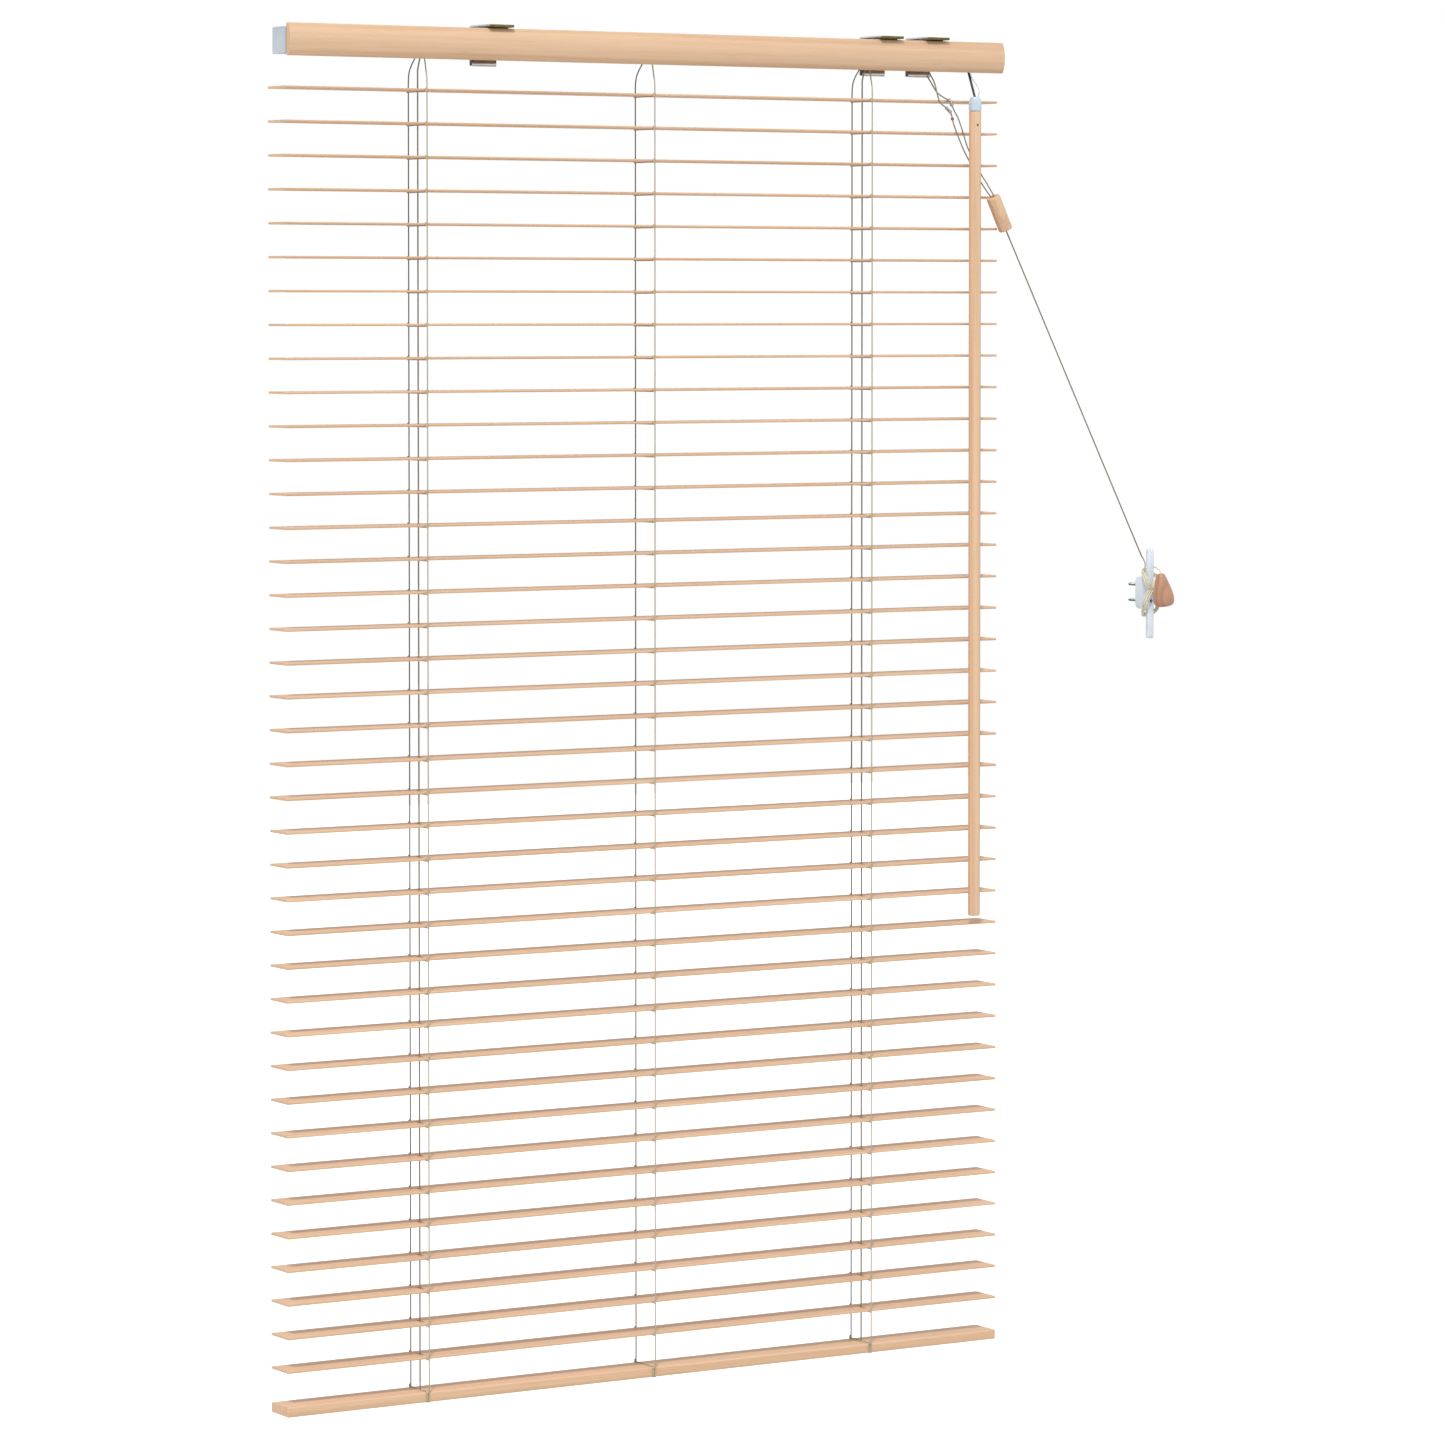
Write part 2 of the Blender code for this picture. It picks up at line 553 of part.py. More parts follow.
def make_knob():
    """A pear shape, narrow at the top."""
    shares = [
        (0, 0), (0.30, 0.0), (0.42, 0.03), (0.52, 0.12), (0.66, 0.28), (0.82, 0.46), (0.94, 0.62),
        (1.0, 0.76), (0.97, 0.87), (0.85, 0.95), (0.62, 0.99), (0.3, 1.0), (0, 1.0),
    ]
    profile = [(share * KNOB_RADIUS, down * KNOB_LENGTH) for share, down in shares]
    down = Vector((sin(KNOB_LEAN), 0, -cos(KNOB_LEAN)))
    mesh = smooth(mesh_from(pointing(turned(profile, 20), (0, 0, 0), down), "cord_knob"))
    add_object("cord_knob", mesh, "dark_wood", KNOB_TOP)


def make_cleat():
    """A two-horned cleat with a deep base that two screws go through."""
    tip, front, horn_back = CLEAT_HALF_HEIGHT, -8.5 * MM, -3.5 * MM
    upper = [
        (CLEAT_BACK, 13 * MM), (12.6 * MM, 15.6 * MM), (8 * MM, 16.6 * MM),
        (1.5 * MM, 16.4 * MM), (-1.6 * MM, 16.8 * MM),
        (horn_back, 19 * MM), (horn_back, tip - 1.2 * MM), (horn_back - MM, tip),
        (front + MM, tip), (front, tip - 1.2 * MM),
    ]
    outline = upper + [(y, -z) for y, z in reversed(upper)]
    body = extrude_along_x(outline, -CLEAT_HALF_WIDTH, CLEAT_HALF_WIDTH)
    holes = []
    for z in (8 * MM, -8 * MM):
        holes.append(("DIFFERENCE", rod_between((0, -12 * MM, z), (0, CLEAT_BACK + 2 * MM, z), 1.7 * MM)))
    add_object("cord_cleat", combined(body, holes), "clear_plastic", CLEAT)


def main():
    for old in list(bpy.data.objects):
        bpy.data.objects.remove(old)
    make_head_rail()
    make_end_caps()
    make_valance()
    make_brackets()
    make_tilt_rod()
    make_tilter()
    make_wand()
    make_cord_lock()
    make_lift_cords()
    make_condenser()
    make_pull_cord()
    make_knob()
    make_cleat()
    make_slats()
    make_bottom_rail()


main()
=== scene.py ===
"""Looks of a wooden venetian blind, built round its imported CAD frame.

Everything is in metres in the CAD's frame: +X along the slats to the wand's end, -Y to the room, +Z up.
"""

from math import cos, pi, radians, sin, sqrt, tau

import bmesh
import bpy
from mathutils import Matrix, Vector


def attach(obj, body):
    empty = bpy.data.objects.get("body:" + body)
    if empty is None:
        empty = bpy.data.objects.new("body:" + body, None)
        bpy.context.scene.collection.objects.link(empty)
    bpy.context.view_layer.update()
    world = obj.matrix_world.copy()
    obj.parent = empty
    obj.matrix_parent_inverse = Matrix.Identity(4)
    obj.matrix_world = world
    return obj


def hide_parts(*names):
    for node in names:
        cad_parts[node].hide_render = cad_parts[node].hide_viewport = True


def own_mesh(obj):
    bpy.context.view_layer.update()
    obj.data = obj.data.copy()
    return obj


MM = 0.001

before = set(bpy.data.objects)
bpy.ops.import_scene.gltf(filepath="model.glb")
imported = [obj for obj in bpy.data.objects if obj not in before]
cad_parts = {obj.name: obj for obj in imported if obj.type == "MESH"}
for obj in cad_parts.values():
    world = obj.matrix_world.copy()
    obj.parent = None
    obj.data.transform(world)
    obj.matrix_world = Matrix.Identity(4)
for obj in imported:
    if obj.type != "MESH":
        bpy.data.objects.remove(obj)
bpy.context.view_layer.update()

# The CAD's own sizes, in metres
SLAT_COUNT = 39
SLAT_LENGTH, SLAT_DEPTH, SLAT_THICKNESS = 796 * MM, 35 * MM, 2.2 * MM
SLAT_PITCH, FIRST_SLAT_Z = 31.5 * MM, -62.65 * MM
SLAT_LEFT = -223 * MM
SLAT_RIGHT = SLAT_LEFT + SLAT_LENGTH
BLIND_MIDDLE = SLAT_LEFT + SLAT_LENGTH / 2
LADDER_SPACING = 249 * MM
LADDERS = [BLIND_MIDDLE + side * LADDER_SPACING for side in (-1, 0, 1)]
CORD_SLOT_LENGTH, CORD_SLOT_WIDTH = 16 * MM, 4 * MM
BOTTOM_RAIL_HEIGHT, BOTTOM_RAIL_Z = 9.4 * MM, -1297.1 * MM
RAIL_FRONT, RAIL_BACK = -18 * MM, 8 * MM
RAIL_BOTTOM, RAIL_TOP = -31.7 * MM, -6.7 * MM
RAIL_WALL, RAIL_LIP = 0.9 * MM, 3 * MM
VALANCE_BACK, VALANCE_EDGE, VALANCE_CROWN = -22 * MM, 4 * MM, 8 * MM
VALANCE_BOTTOM, VALANCE_TOP = -34 * MM, -3.7 * MM
BRACKET_WIDTH = 26 * MM
BRACKET_MIDDLES = {"left": 0.0, "middle": 440 * MM, "right": 494 * MM}
BRACKET_SHEET, BRACKET_FRONT = 1.5 * MM, -30 * MM
BRACKET_BOTTOM, WALL_Y = -38.6 * MM, 9.8 * MM
ROD_Y, ROD_Z = -1 * MM, -19 * MM
WAND_X, WAND_Y, WAND_RADIUS = 540 * MM, -27 * MM, 6 * MM
HINGE_BALL_Z, STEM_SLANT = -59.5 * MM, radians(24.4)
WAND_TOP, WAND_BOTTOM = -72.3 * MM, -872.6 * MM
CAP_TOP, CAP_BOTTOM = -58 * MM, -72 * MM
CORD_RADIUS = 0.7 * MM
STRING_RADIUS = 0.65 * MM
RUNG_RADIUS = 0.45 * MM
CONDENSER_TOP = Vector((562.0, -26.0, -156.5)) * MM
CONDENSER_END = Vector((578.4, -25.0, -189.5)) * MM
CONDENSER_RADIUS = 7 * MM
CLEAT = Vector((758.8, -15.0, -556.6)) * MM
CLEAT_HALF_HEIGHT, CLEAT_HALF_WIDTH, CLEAT_BACK = 46 * MM, 4 * MM, 14.7 * MM
KNOB_TOP = CLEAT + Vector((-2.4, -27.8, 20.5)) * MM
KNOB_LENGTH, KNOB_RADIUS, KNOB_LEAN = 33.5 * MM, 10.7 * MM, radians(9)


# ---- camera, light and floor

def added(name, data):
    """A new object in the scene."""
    obj = bpy.data.objects.new(name, data)
    bpy.context.scene.collection.objects.link(obj)
    return obj


def mesh_of(name, bm):
    """Moves a bmesh into a new mesh."""
    mesh = bpy.data.meshes.new(name)
    bm.to_mesh(mesh)
    bm.free()
    return mesh


def add_camera():
    camera = added("camera", bpy.data.cameras.new("camera"))
    camera.location = (-2.6861, -4.8062, -0.2689)
    camera.rotation_euler = (radians(90 - 2.081), 0, radians(-31.529))
    camera.data.lens = 144.37
    camera.data.shift_y = -0.14
    camera.data.clip_start, camera.data.clip_end = 0.1, 100
    bpy.context.scene.camera = camera


def add_sun(name, towards, strength, spread):
    """A soft light that comes evenly from one direction."""
    lamp = bpy.data.lights.new(name, "SUN")
    lamp.energy, lamp.angle = strength, radians(spread)
    added(name, lamp).rotation_euler = Vector(towards).to_track_quat("Z", "Y").to_euler()


def add_studio():
    """Soft light from the left and front, before a floor and sky that the camera sees as white."""
    world = bpy.data.worlds.new("studio")
    world.use_nodes = True
    nodes, links = world.node_tree.nodes, world.node_tree.links
    background = nodes["Background"]
    background.inputs["Color"].default_value = (1, 1, 1, 1)
    seen = nodes.new("ShaderNodeMapRange")
    seen.inputs["To Min"].default_value, seen.inputs["To Max"].default_value = 0.72, 1.0
    links.new(nodes.new("ShaderNodeLightPath").outputs["Is Camera Ray"], seen.inputs["Value"])
    links.new(seen.outputs["Result"], background.inputs["Strength"])
    bpy.context.scene.world = world
    bpy.context.scene.view_settings.view_transform = "Standard"
    add_sun("key", (-0.40, -0.50, 0.77), 2.05, 7)
    add_sun("rim", (0.75, -0.25, 0.35), 0.2, 40)
    floor_half_size, floor_z = 14, -2.1
    bm = bmesh.new()
    bmesh.ops.create_grid(bm, x_segments=1, y_segments=1, size=floor_half_size)
    bmesh.ops.translate(bm, verts=bm.verts, vec=(0, 0, floor_z))
    floor = added("floor", mesh_of("floor", bm))
    floor.data.materials.append(plaster("floor_white"))


# ---- materials

class Tree:
    """A material with a short way to add and join shader nodes."""

    def __init__(self, name):
        self.material = bpy.data.materials.new(name)
        self.material.use_nodes = True
        self.nodes = self.material.node_tree.nodes
        self.links = self.material.node_tree.links
        self.shader = self.nodes["Principled BSDF"]

    def add(self, kind, inputs=None, **settings):
        made = self.nodes.new("ShaderNode" + kind)
        for key, value in settings.items():
            setattr(made, key, value)
        for key, value in (inputs or {}).items():
            self.set(made, key, value)
        return made

    def set(self, made, key, value):
        socket = made.inputs[key]
        if isinstance(value, bpy.types.NodeSocket):
            self.links.new(value, socket)
        else:
            socket.default_value = value

    def shade(self, **values):
        for key, value in values.items():
            self.set(self.shader, key.replace("_", " "), value)

    def place(self, scale, turn=(0, 0, 0), shift=(0, 0, 0)):
        """Object coordinates, turned and then scaled."""
        where = self.add("TexCoord").outputs["Object"]
        if any(turn) or any(shift):
            inputs = {"Vector": where, "Rotation": turn, "Location": shift}
            where = self.add("Mapping", inputs).outputs["Vector"]
        return self.add("Mapping", {"Vector": where, "Scale": scale}).outputs["Vector"]

    def noise(self, vector, detail=3.0, roughness=0.5, distortion=0.0):
        inputs = {"Vector": vector, "Scale": 1.0, "Detail": detail, "Roughness": roughness,
                  "Distortion": distortion}
        return self.add("TexNoise", inputs).outputs["Fac"]

    def ramp(self, value, *stops):
        made = self.add("ValToRGB", {"Fac": value})
        ramp = made.color_ramp
        while len(ramp.elements) < len(stops):
            ramp.elements.new(0.5)
        for element, (place, colour) in zip(ramp.elements, stops):
            element.position = place
            element.color = (*colour, 1)
        return made.outputs["Color"]

    def between(self, value, low, high, out_low, out_high):
        inputs = {"Value": value, "From Min": low, "From Max": high, "To Min": out_low, "To Max": out_high}
        return self.add("MapRange", inputs).outputs["Result"]

    def mix(self, factor, a, b, blend="MIX"):
        made = self.add("Mix", data_type="RGBA", blend_type=blend)
        self.set(made, 0, factor)
        self.set(made, 6, a)
        self.set(made, 7, b)
        return made.outputs[2]

    def maths(self, operation, *values):
        made = self.add("Math", operation=operation)
        for i, value in enumerate(values):
            self.set(made, i, value)
        return made.outputs[0]

    def weighed(self, a, share, b):
        """A sum of a and b, in which a has the given share."""
        return self.maths("ADD", self.maths("MULTIPLY", a, share), self.maths("MULTIPLY", b, 1 - share))

    def bump(self, height, strength, distance):
        made = self.add("Bump", {"Height": height, "Strength": strength, "Distance": distance})
        self.set(self.shader, "Normal", made.outputs["Normal"])


def plaster(name):
    t = Tree(name)
    tone = t.noise(t.place((3, 3, 3)), detail=4)
    seen = t.add("LightPath").outputs["Is Camera Ray"]
    t.shade(Base_Color=t.ramp(tone, (0.3, (0.62, 0.62, 0.62)), (0.7, (0.66, 0.66, 0.66))),
            Roughness=0.9, Emission_Color=(1, 1, 1, 1), Emission_Strength=t.maths("MULTIPLY", seen, 0.5))
    t.bump(t.noise(t.place((220, 220, 220)), detail=4), 0.05, 0.0005)
    return t.material


def wood(name, light, middle, dark, turn=(0, 0, 0), coat=0.12):
    """Lacquered wood whose grain runs along X once turned."""
    t = Tree(name)
    wander = t.noise(t.place((1.6, 26, 26), turn), detail=2)
    board = t.noise(t.place((0.35, 9, 31), turn, (0.13, 0.02, 0.07)), detail=1)
    streak = t.noise(t.place((7, 330, 330), turn), detail=4, roughness=0.6, distortion=0.35)
    fibre = t.noise(t.place((38, 2300, 2300), turn), detail=3, roughness=0.65)
    bands = {"Vector": t.place((1.1, 70, 70), turn), "Scale": 1.0, "Distortion": 5.0, "Detail": 2.0,
             "Detail Scale": 1.6}
    ring = t.add("TexWave", bands, wave_type="BANDS", bands_direction="Y").outputs["Fac"]
    colour = t.ramp(t.weighed(streak, 0.62, ring), (0.22, dark), (0.5, middle), (0.78, light))
    pores = t.ramp(fibre, (0.30, (0.80, 0.74, 0.68)), (0.46, (1, 1, 1)))
    colour = t.mix(0.55, colour, pores, "MULTIPLY")
    toned = t.ramp(t.weighed(wander, 0.45, board), (0.34, (0.95, 0.94, 0.92)), (0.66, (1.0, 1.0, 1.0)))
    colour = t.mix(1.0, colour, toned, "MULTIPLY")
    t.shade(Base_Color=colour, Roughness=t.between(fibre, 0.3, 0.7, 0.56, 0.44),
            Coat_Weight=coat, Coat_Roughness=0.3)
    t.bump(t.weighed(fibre, 0.7, streak), 0.16, 0.00025)
    return t.material


def enamel(name, light, dark):
    """Painted sheet metal with a fine orange-peel skin and faint wear."""
    t = Tree(name)
    tone = t.noise(t.place((9, 60, 60)), detail=4)
    peel = t.noise(t.place((1500, 1500, 1500)), detail=2)
    scuff = t.noise(t.place((60, 900, 900)), detail=4, roughness=0.7)
    t.shade(Base_Color=t.ramp(t.weighed(tone, 0.7, scuff), (0.35, dark), (0.65, light)),
            Roughness=t.between(scuff, 0.3, 0.75, 0.30, 0.48))
    t.bump(peel, 0.06, 0.0002)
    return t.material


def plated(name, light, dark):
    """Plated steel with a rolling direction, a cloudy tone and small spots."""
    t = Tree(name)
    brushed = t.noise(t.place((90, 2600, 2600)), detail=3, roughness=0.7)
    cloud = t.noise(t.place((130, 130, 130)), detail=5, roughness=0.6)
    spots = t.noise(t.place((900, 900, 900)), detail=2)
    mixed = t.weighed(cloud, 0.65, brushed)
    colour = t.ramp(mixed, (0.36, dark), (0.64, light))
    colour = t.mix(t.between(spots, 0.62, 0.74, 0.0, 0.5), colour, (*[c * 0.6 for c in dark], 1))
    t.shade(Base_Color=colour, Metallic=0.85, Roughness=t.between(mixed, 0.3, 0.7, 0.44, 0.26))
    t.bump(brushed, 0.08, 0.0001)
    return t.material


def clear_plastic(name, light, dark, transmission=0.35, roughness=0.2):
    """Milky moulded plastic that lets light into it."""
    t = Tree(name)
    cloud = t.noise(t.place((160, 160, 90)), detail=4, roughness=0.6)
    skin = t.noise(t.place((1200, 1200, 1200)), detail=3)
    t.shade(Base_Color=t.ramp(cloud, (0.32, dark), (0.68, light)),
            Roughness=t.between(skin, 0.3, 0.7, roughness, roughness + 0.14),
            Transmission_Weight=transmission, IOR=1.46, Subsurface_Weight=0.25,
            Subsurface_Radius=(0.004, 0.005, 0.006), Subsurface_Scale=0.6)
    t.bump(skin, 0.05, 0.0001)
    return t.material


def moulded(name, light, dark):
    """Fine-sparked moulded plastic."""
    t = Tree(name)
    cloud = t.noise(t.place((70, 70, 70)), detail=4)
    spark = t.noise(t.place((2600, 2600, 2600)), detail=2)
    t.shade(Base_Color=t.ramp(cloud, (0.34, dark), (0.66, light)),
            Roughness=t.between(spark, 0.3, 0.7, 0.43, 0.6))
    t.bump(spark, 0.12, 0.00012)
    return t.material


def braid(name, light, dark, plaits=1100.0, taut=None):
    """Braided cord: two sets of threads that cross, from the tube's own along and round values.

    taut is (share of brightness, from, to): painted shade darkens the cord up to that length along it.
    """
    t = Tree(name)
    along = t.add("Attribute", attribute_name="along").outputs["Fac"]
    turned = t.maths("MULTIPLY", t.add("Attribute", attribute_name="round").outputs["Fac"], 3.0)
    climb = t.maths("MULTIPLY", along, plaits)
    threads = []
    for operation in ("ADD", "SUBTRACT"):
        phase = t.maths("MULTIPLY", t.maths(operation, climb, turned), tau)
        threads.append(t.maths("MULTIPLY_ADD", t.maths("SINE", phase), 0.5, 0.5))
    weave = t.maths("MAXIMUM", *threads)
    fuzz = t.noise(t.place((2400, 2400, 2400)), detail=3)
    soil = t.noise(t.place((30, 30, 14)), detail=3)
    height = t.weighed(weave, 0.75, fuzz)
    colour = t.ramp(height, (0.30, dark), (0.85, light))
    colour = t.mix(1.0, colour, t.ramp(soil, (0.3, (0.88, 0.87, 0.84)), (0.7, (1, 1, 1))), "MULTIPLY")
    if taut:
        share, start, end = taut
        # Painted shade: the cord's taut stretch is coloured darker, as if in shadow.
        painted_shade = t.between(along, start, end, share, 1.0)
        shade = t.add("CombineColor", {"Red": painted_shade, "Green": painted_shade, "Blue": painted_shade}).outputs["Color"]
        colour = t.mix(1.0, colour, shade, "MULTIPLY")
    t.shade(Base_Color=colour, Roughness=t.between(fuzz, 0.3, 0.7, 0.72, 0.92),
            Sheen_Weight=0.15, Sheen_Roughness=0.5)
    t.bump(height, 0.5, 0.00015)
    return t.material


# ---- shapes

def mesh_object(name, bm, material, angle=35):
    bmesh.ops.recalc_face_normals(bm, faces=bm.faces)
    return object_of(name, mesh_of(name, bm), material, angle)


def object_of(name, mesh, material, angle=35):
    return smoothed(added(name, mesh), material, angle)


def smoothed(obj, material, angle=35):
    """Gives a piece one material and smooth faces, with sharp edges from the angle up."""
    obj.data.materials.clear()
    obj.data.materials.append(material)
    obj.data.shade_smooth()
    obj.data.set_sharp_from_angle(angle=radians(angle))
    return obj


def joined(bm, other):
    """Moves the faces of one bmesh into another."""
    mesh = mesh_of("part", other)
    bm.from_mesh(mesh)
    bpy.data.meshes.remove(mesh)


def evaluated(obj):
    """Applies an object's modifiers."""
    graph = bpy.context.evaluated_depsgraph_get()
    mesh = bpy.data.meshes.new_from_object(obj.evaluated_get(graph))
    obj.modifiers.clear()
    obj.data = mesh
    return obj


def cut(obj, cutters, ease=0.0):
    """Cuts each bmesh out of obj, and then eases its sharp edges."""
    tools = []
    for bm in cutters:
        bmesh.ops.recalc_face_normals(bm, faces=bm.faces)
        tools.append(added("cutter", mesh_of("cutter", bm)))
        boolean = obj.modifiers.new("cut", "BOOLEAN")
        boolean.operation, boolean.object = "DIFFERENCE", tools[-1]
    if ease:
        add_bevel(obj, ease)
    evaluated(obj)
    for tool in tools:
        bpy.data.objects.remove(tool)


def add_bevel(obj, width, segments=3, angle=35):
    bevel = obj.modifiers.new("ease", "BEVEL")
    bevel.width, bevel.segments = width, segments
    bevel.limit_method, bevel.angle_limit = "ANGLE", radians(angle)
    bevel.harden_normals = True


def box(low, high):
    bm = bmesh.new()
    bmesh.ops.create_cube(bm, size=1)
    low, high = Vector(low), Vector(high)
    for vert in bm.verts:
        vert.co = Vector([low[i] + (high[i] - low[i]) * (vert.co[i] + 0.5) for i in range(3)])
    return bm


def loft(rings):
    """A solid through closed rings of points, with flat ends."""
    bm = bmesh.new()
    made = [[bm.verts.new(point) for point in ring] for ring in rings]
    for lower, upper in zip(made, made[1:]):
        for i in range(len(lower)):
            j = (i + 1) % len(lower)
            bm.faces.new((lower[i], lower[j], upper[j], upper[i]))
    bm.faces.new(made[0])
    bm.faces.new(made[-1])
    return bm


def along_x(outline, left, right, ease=0.0):
    """A prism of a (y, z) outline with its two ends eased."""
    middle = Vector((sum(y for y, _ in outline), sum(z for _, z in outline))) / len(outline)
    rings = []
    places = [(left, 0), (right, 0)]
    if ease:
        places = [(left, ease), (left + ease, 0), (right - ease, 0), (right, ease)]
    for x, inset in places:
        ring = []
        for y, z in outline:
            away = Vector((y, z)) - middle
            held = Vector((y, z)) - away.normalized() * min(inset, away.length * 0.4)
            ring.append((x, held.x, held.y))
        rings.append(ring)
    return loft(rings)


def turned(profile, sides=48):
    """A solid turned about Z from (radius, height) pairs, which start and end on the axis."""
    bm = bmesh.new()
    rings = []
    for radius, height in profile:
        if radius == 0:
            rings.append([bm.verts.new((0, 0, height))])
            continue
        angles = [tau * i / sides for i in range(sides)]
        rings.append([bm.verts.new((radius * cos(a), radius * sin(a), height)) for a in angles])
    for lower, upper in zip(rings, rings[1:]):
        for i in range(sides):
            corners = [lower[i % len(lower)], lower[(i + 1) % len(lower)]]
            corners += [upper[(i + 1) % len(upper)], upper[i % len(upper)]]
            bm.faces.new(list(dict.fromkeys(corners)))
    return bm


def turned_in_mm(profile, sides, place=(0, 0, 0)):
    """A turned solid from sizes in millimetres, moved to a place in metres."""
    bm = turned([(radius * MM, height * MM) for radius, height in profile], sides)
    bmesh.ops.translate(bm, verts=bm.verts, vec=place)
    return bm


def pointing(bm, start, direction):
    """Turns a bmesh made along +Z towards a direction, and moves its origin to start."""
    turn = Vector((0, 0, 1)).rotation_difference(Vector(direction)).to_matrix().to_4x4()
    bmesh.ops.transform(bm, matrix=Matrix.Translation(start) @ turn, verts=bm.verts)
    return bm


def rod_between(start, end, radius, sides=32):
    start, end = Vector(start), Vector(end)
    bm = turned([(0, 0), (radius, 0), (radius, (end - start).length), (0, (end - start).length)], sides)
    return pointing(bm, start, end - start)


def curve_through(points, steps=5):
    """A Catmull-Rom curve through the points, read at steps places for each stretch."""
    points = [Vector(p) for p in points]
    ends = [points[0] * 2 - points[1], *points, points[-1] * 2 - points[-2]]
    line = []
    for before, start, end, after in zip(ends, ends[1:], ends[2:], ends[3:]):
        for step in range(steps):
            t = step / steps
            bend = (before * 2 - start * 5 + end * 4 - after) * t**2
            twist = (start * 3 - before - end * 3 + after) * t**3
            line.append((start * 2 + (end - before) * t + bend + twist) / 2)
    return [*line, points[-1]]


def tube_into(bm, points, radius, sides=10):
    """Adds a tube with round caps along the points, and its length and turn as values of each vertex."""
    along_layer = bm.verts.layers.float.get("along") or bm.verts.layers.float.new("along")
    round_layer = bm.verts.layers.float.get("round") or bm.verts.layers.float.new("round")
    points = [Vector(p) for p in points]
    tangents = [(points[min(i + 1, len(points) - 1)] - points[max(i - 1, 0)]).normalized()
                for i in range(len(points))]
    side = tangents[0].orthogonal().normalized()
    walked, stations = 0.0, []
    for i, (point, tangent) in enumerate(zip(points, tangents)):
        if i:
            walked += (point - points[i - 1]).length
            side = (side - tangent * side.dot(tangent)).normalized()
        stations.append((point, tangent, side, 1.0, walked))
    first, last = stations[0], stations[-1]
    for out, share in ((0.55, 0.78), (0.9, 0.25)):
        stations.insert(0, (points[0] - tangents[0] * radius * out, *first[1:3], share, first[4]))
        stations.append((points[-1] + tangents[-1] * radius * out, *last[1:3], share, last[4]))
    rings = []
    for point, tangent, side, share, distance in stations:
        other = tangent.cross(side)
        ring = []
        for i in range(sides):
            angle = tau * i / sides
            vert = bm.verts.new(point + (side * cos(angle) + other * sin(angle)) * radius * share)
            vert[along_layer] = distance
            vert[round_layer] = i / sides if i <= sides / 2 else 1 - i / sides
            ring.append(vert)
        rings.append(ring)
    for lower, upper in zip(rings, rings[1:]):
        for i in range(sides):
            j = (i + 1) % sides
            bm.faces.new((lower[i], lower[j], upper[j], upper[i]))
    bm.faces.new(list(reversed(rings[0])))
    bm.faces.new(rings[-1])


def tube(name, points, radius, material, sides=10):
    bm = bmesh.new()
    tube_into(bm, points, radius, sides)
    return mesh_object(name, bm, material, 60)


def rounded(points, radius, steps=5):
    """A polyline in a plane with its inner corners turned into arcs."""
    points = [Vector(p) for p in points]
    line = [points[0]]
    for before, corner, after in zip(points, points[1:], points[2:]):
        back, ahead = (before - corner).normalized(), (after - corner).normalized()
        half = back.angle(ahead) / 2
        reach = radius / max(sin(half) / cos(half), 1e-6)
        centre = corner + (back + ahead).normalized() * (radius / sin(half))
        start, end = corner + back * reach, corner + ahead * reach
        for i in range(steps + 1):
            turned_to = (start - centre).lerp(end - centre, i / steps).normalized()
            line.append(centre + turned_to * radius)
    return [*line, points[-1]]


def sheet_outline(path, thickness):
    """The closed outline of a bent sheet from its middle line."""
    sides = ([], [])
    for i, point in enumerate(path):
        ahead = (path[min(i + 1, len(path) - 1)] - path[max(i - 1, 0)]).normalized()
        across = Vector((-ahead.y, ahead.x)) * thickness / 2
        sides[0].append(point + across)
        sides[1].append(point - across)
    return [(p.x, p.y) for p in sides[0] + sides[1][::-1]]


def rounded_bar(depth, height, radius, steps=4):
    """A flat bar's section with round edges."""
    outline = []
    for y_side, z_side, first in ((1, 1, 0), (-1, 1, 90), (-1, -1, 180), (1, -1, 270)):
        for i in range(steps + 1):
            angle = radians(first + 90 * i / steps)
            outline.append((y_side * (depth / 2 - radius) + radius * cos(angle),
                            z_side * (height / 2 - radius) + radius * sin(angle)))
    return outline


def stadium(middle_x, low, high, length, width, sides=12, middle_y=0.0):
    """A cutter that is long from front to back."""
    radius = width / 2
    straight = length / 2 - radius
    corners = []
    for end, first in ((1, 0.0), (-1, pi)):
        for i in range(sides + 1):
            angle = first + pi * i / sides
            corners.append((middle_x + radius * cos(angle), middle_y + end * straight + radius * sin(angle)))
    return loft([[(x, y, z) for x, y in corners] for z in (low, high)])


# ---- pieces and the CAD's bodies

def stand_in(piece, node, body="head_assembly"):
    """Puts a detailed piece in the place of a CAD node, on its body."""
    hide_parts(node)
    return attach(piece, body)


def eased_piece(name, bm, material, width, segments):
    """A small part with eased edges that belongs to the head rail."""
    piece = mesh_object(name, bm, material)
    add_bevel(piece, width, segments)
    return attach(smoothed(evaluated(piece), material), "head_assembly")


# ---- colours of the object

LIGHT_WOOD = ((0.755, 0.515, 0.338), (0.715, 0.475, 0.300), (0.635, 0.40, 0.238))
WOOD = wood("wood_along", *LIGHT_WOOD)
WAND_WOOD = wood("wood_upright", *LIGHT_WOOD, turn=(0, radians(90), 0))
DARK_WOOD = wood("wood_stained", (0.50, 0.268, 0.166), (0.455, 0.236, 0.142), (0.385, 0.19, 0.112),
                 turn=(0, radians(81), 0), coat=0.35)
ENAMEL = enamel("rail_enamel", (0.55, 0.60, 0.66), (0.48, 0.53, 0.59))
STEEL = plated("plated_steel", (0.86, 0.87, 0.88), (0.72, 0.73, 0.75))
DARK_STEEL = plated("screw_steel", (0.30, 0.34, 0.34), (0.14, 0.17, 0.17))
YELLOW_STEEL = plated("yellow_steel", (0.27, 0.22, 0.075), (0.13, 0.10, 0.03))
HOOK_STEEL = plated("hook_steel", (0.13, 0.115, 0.10), (0.06, 0.055, 0.05))
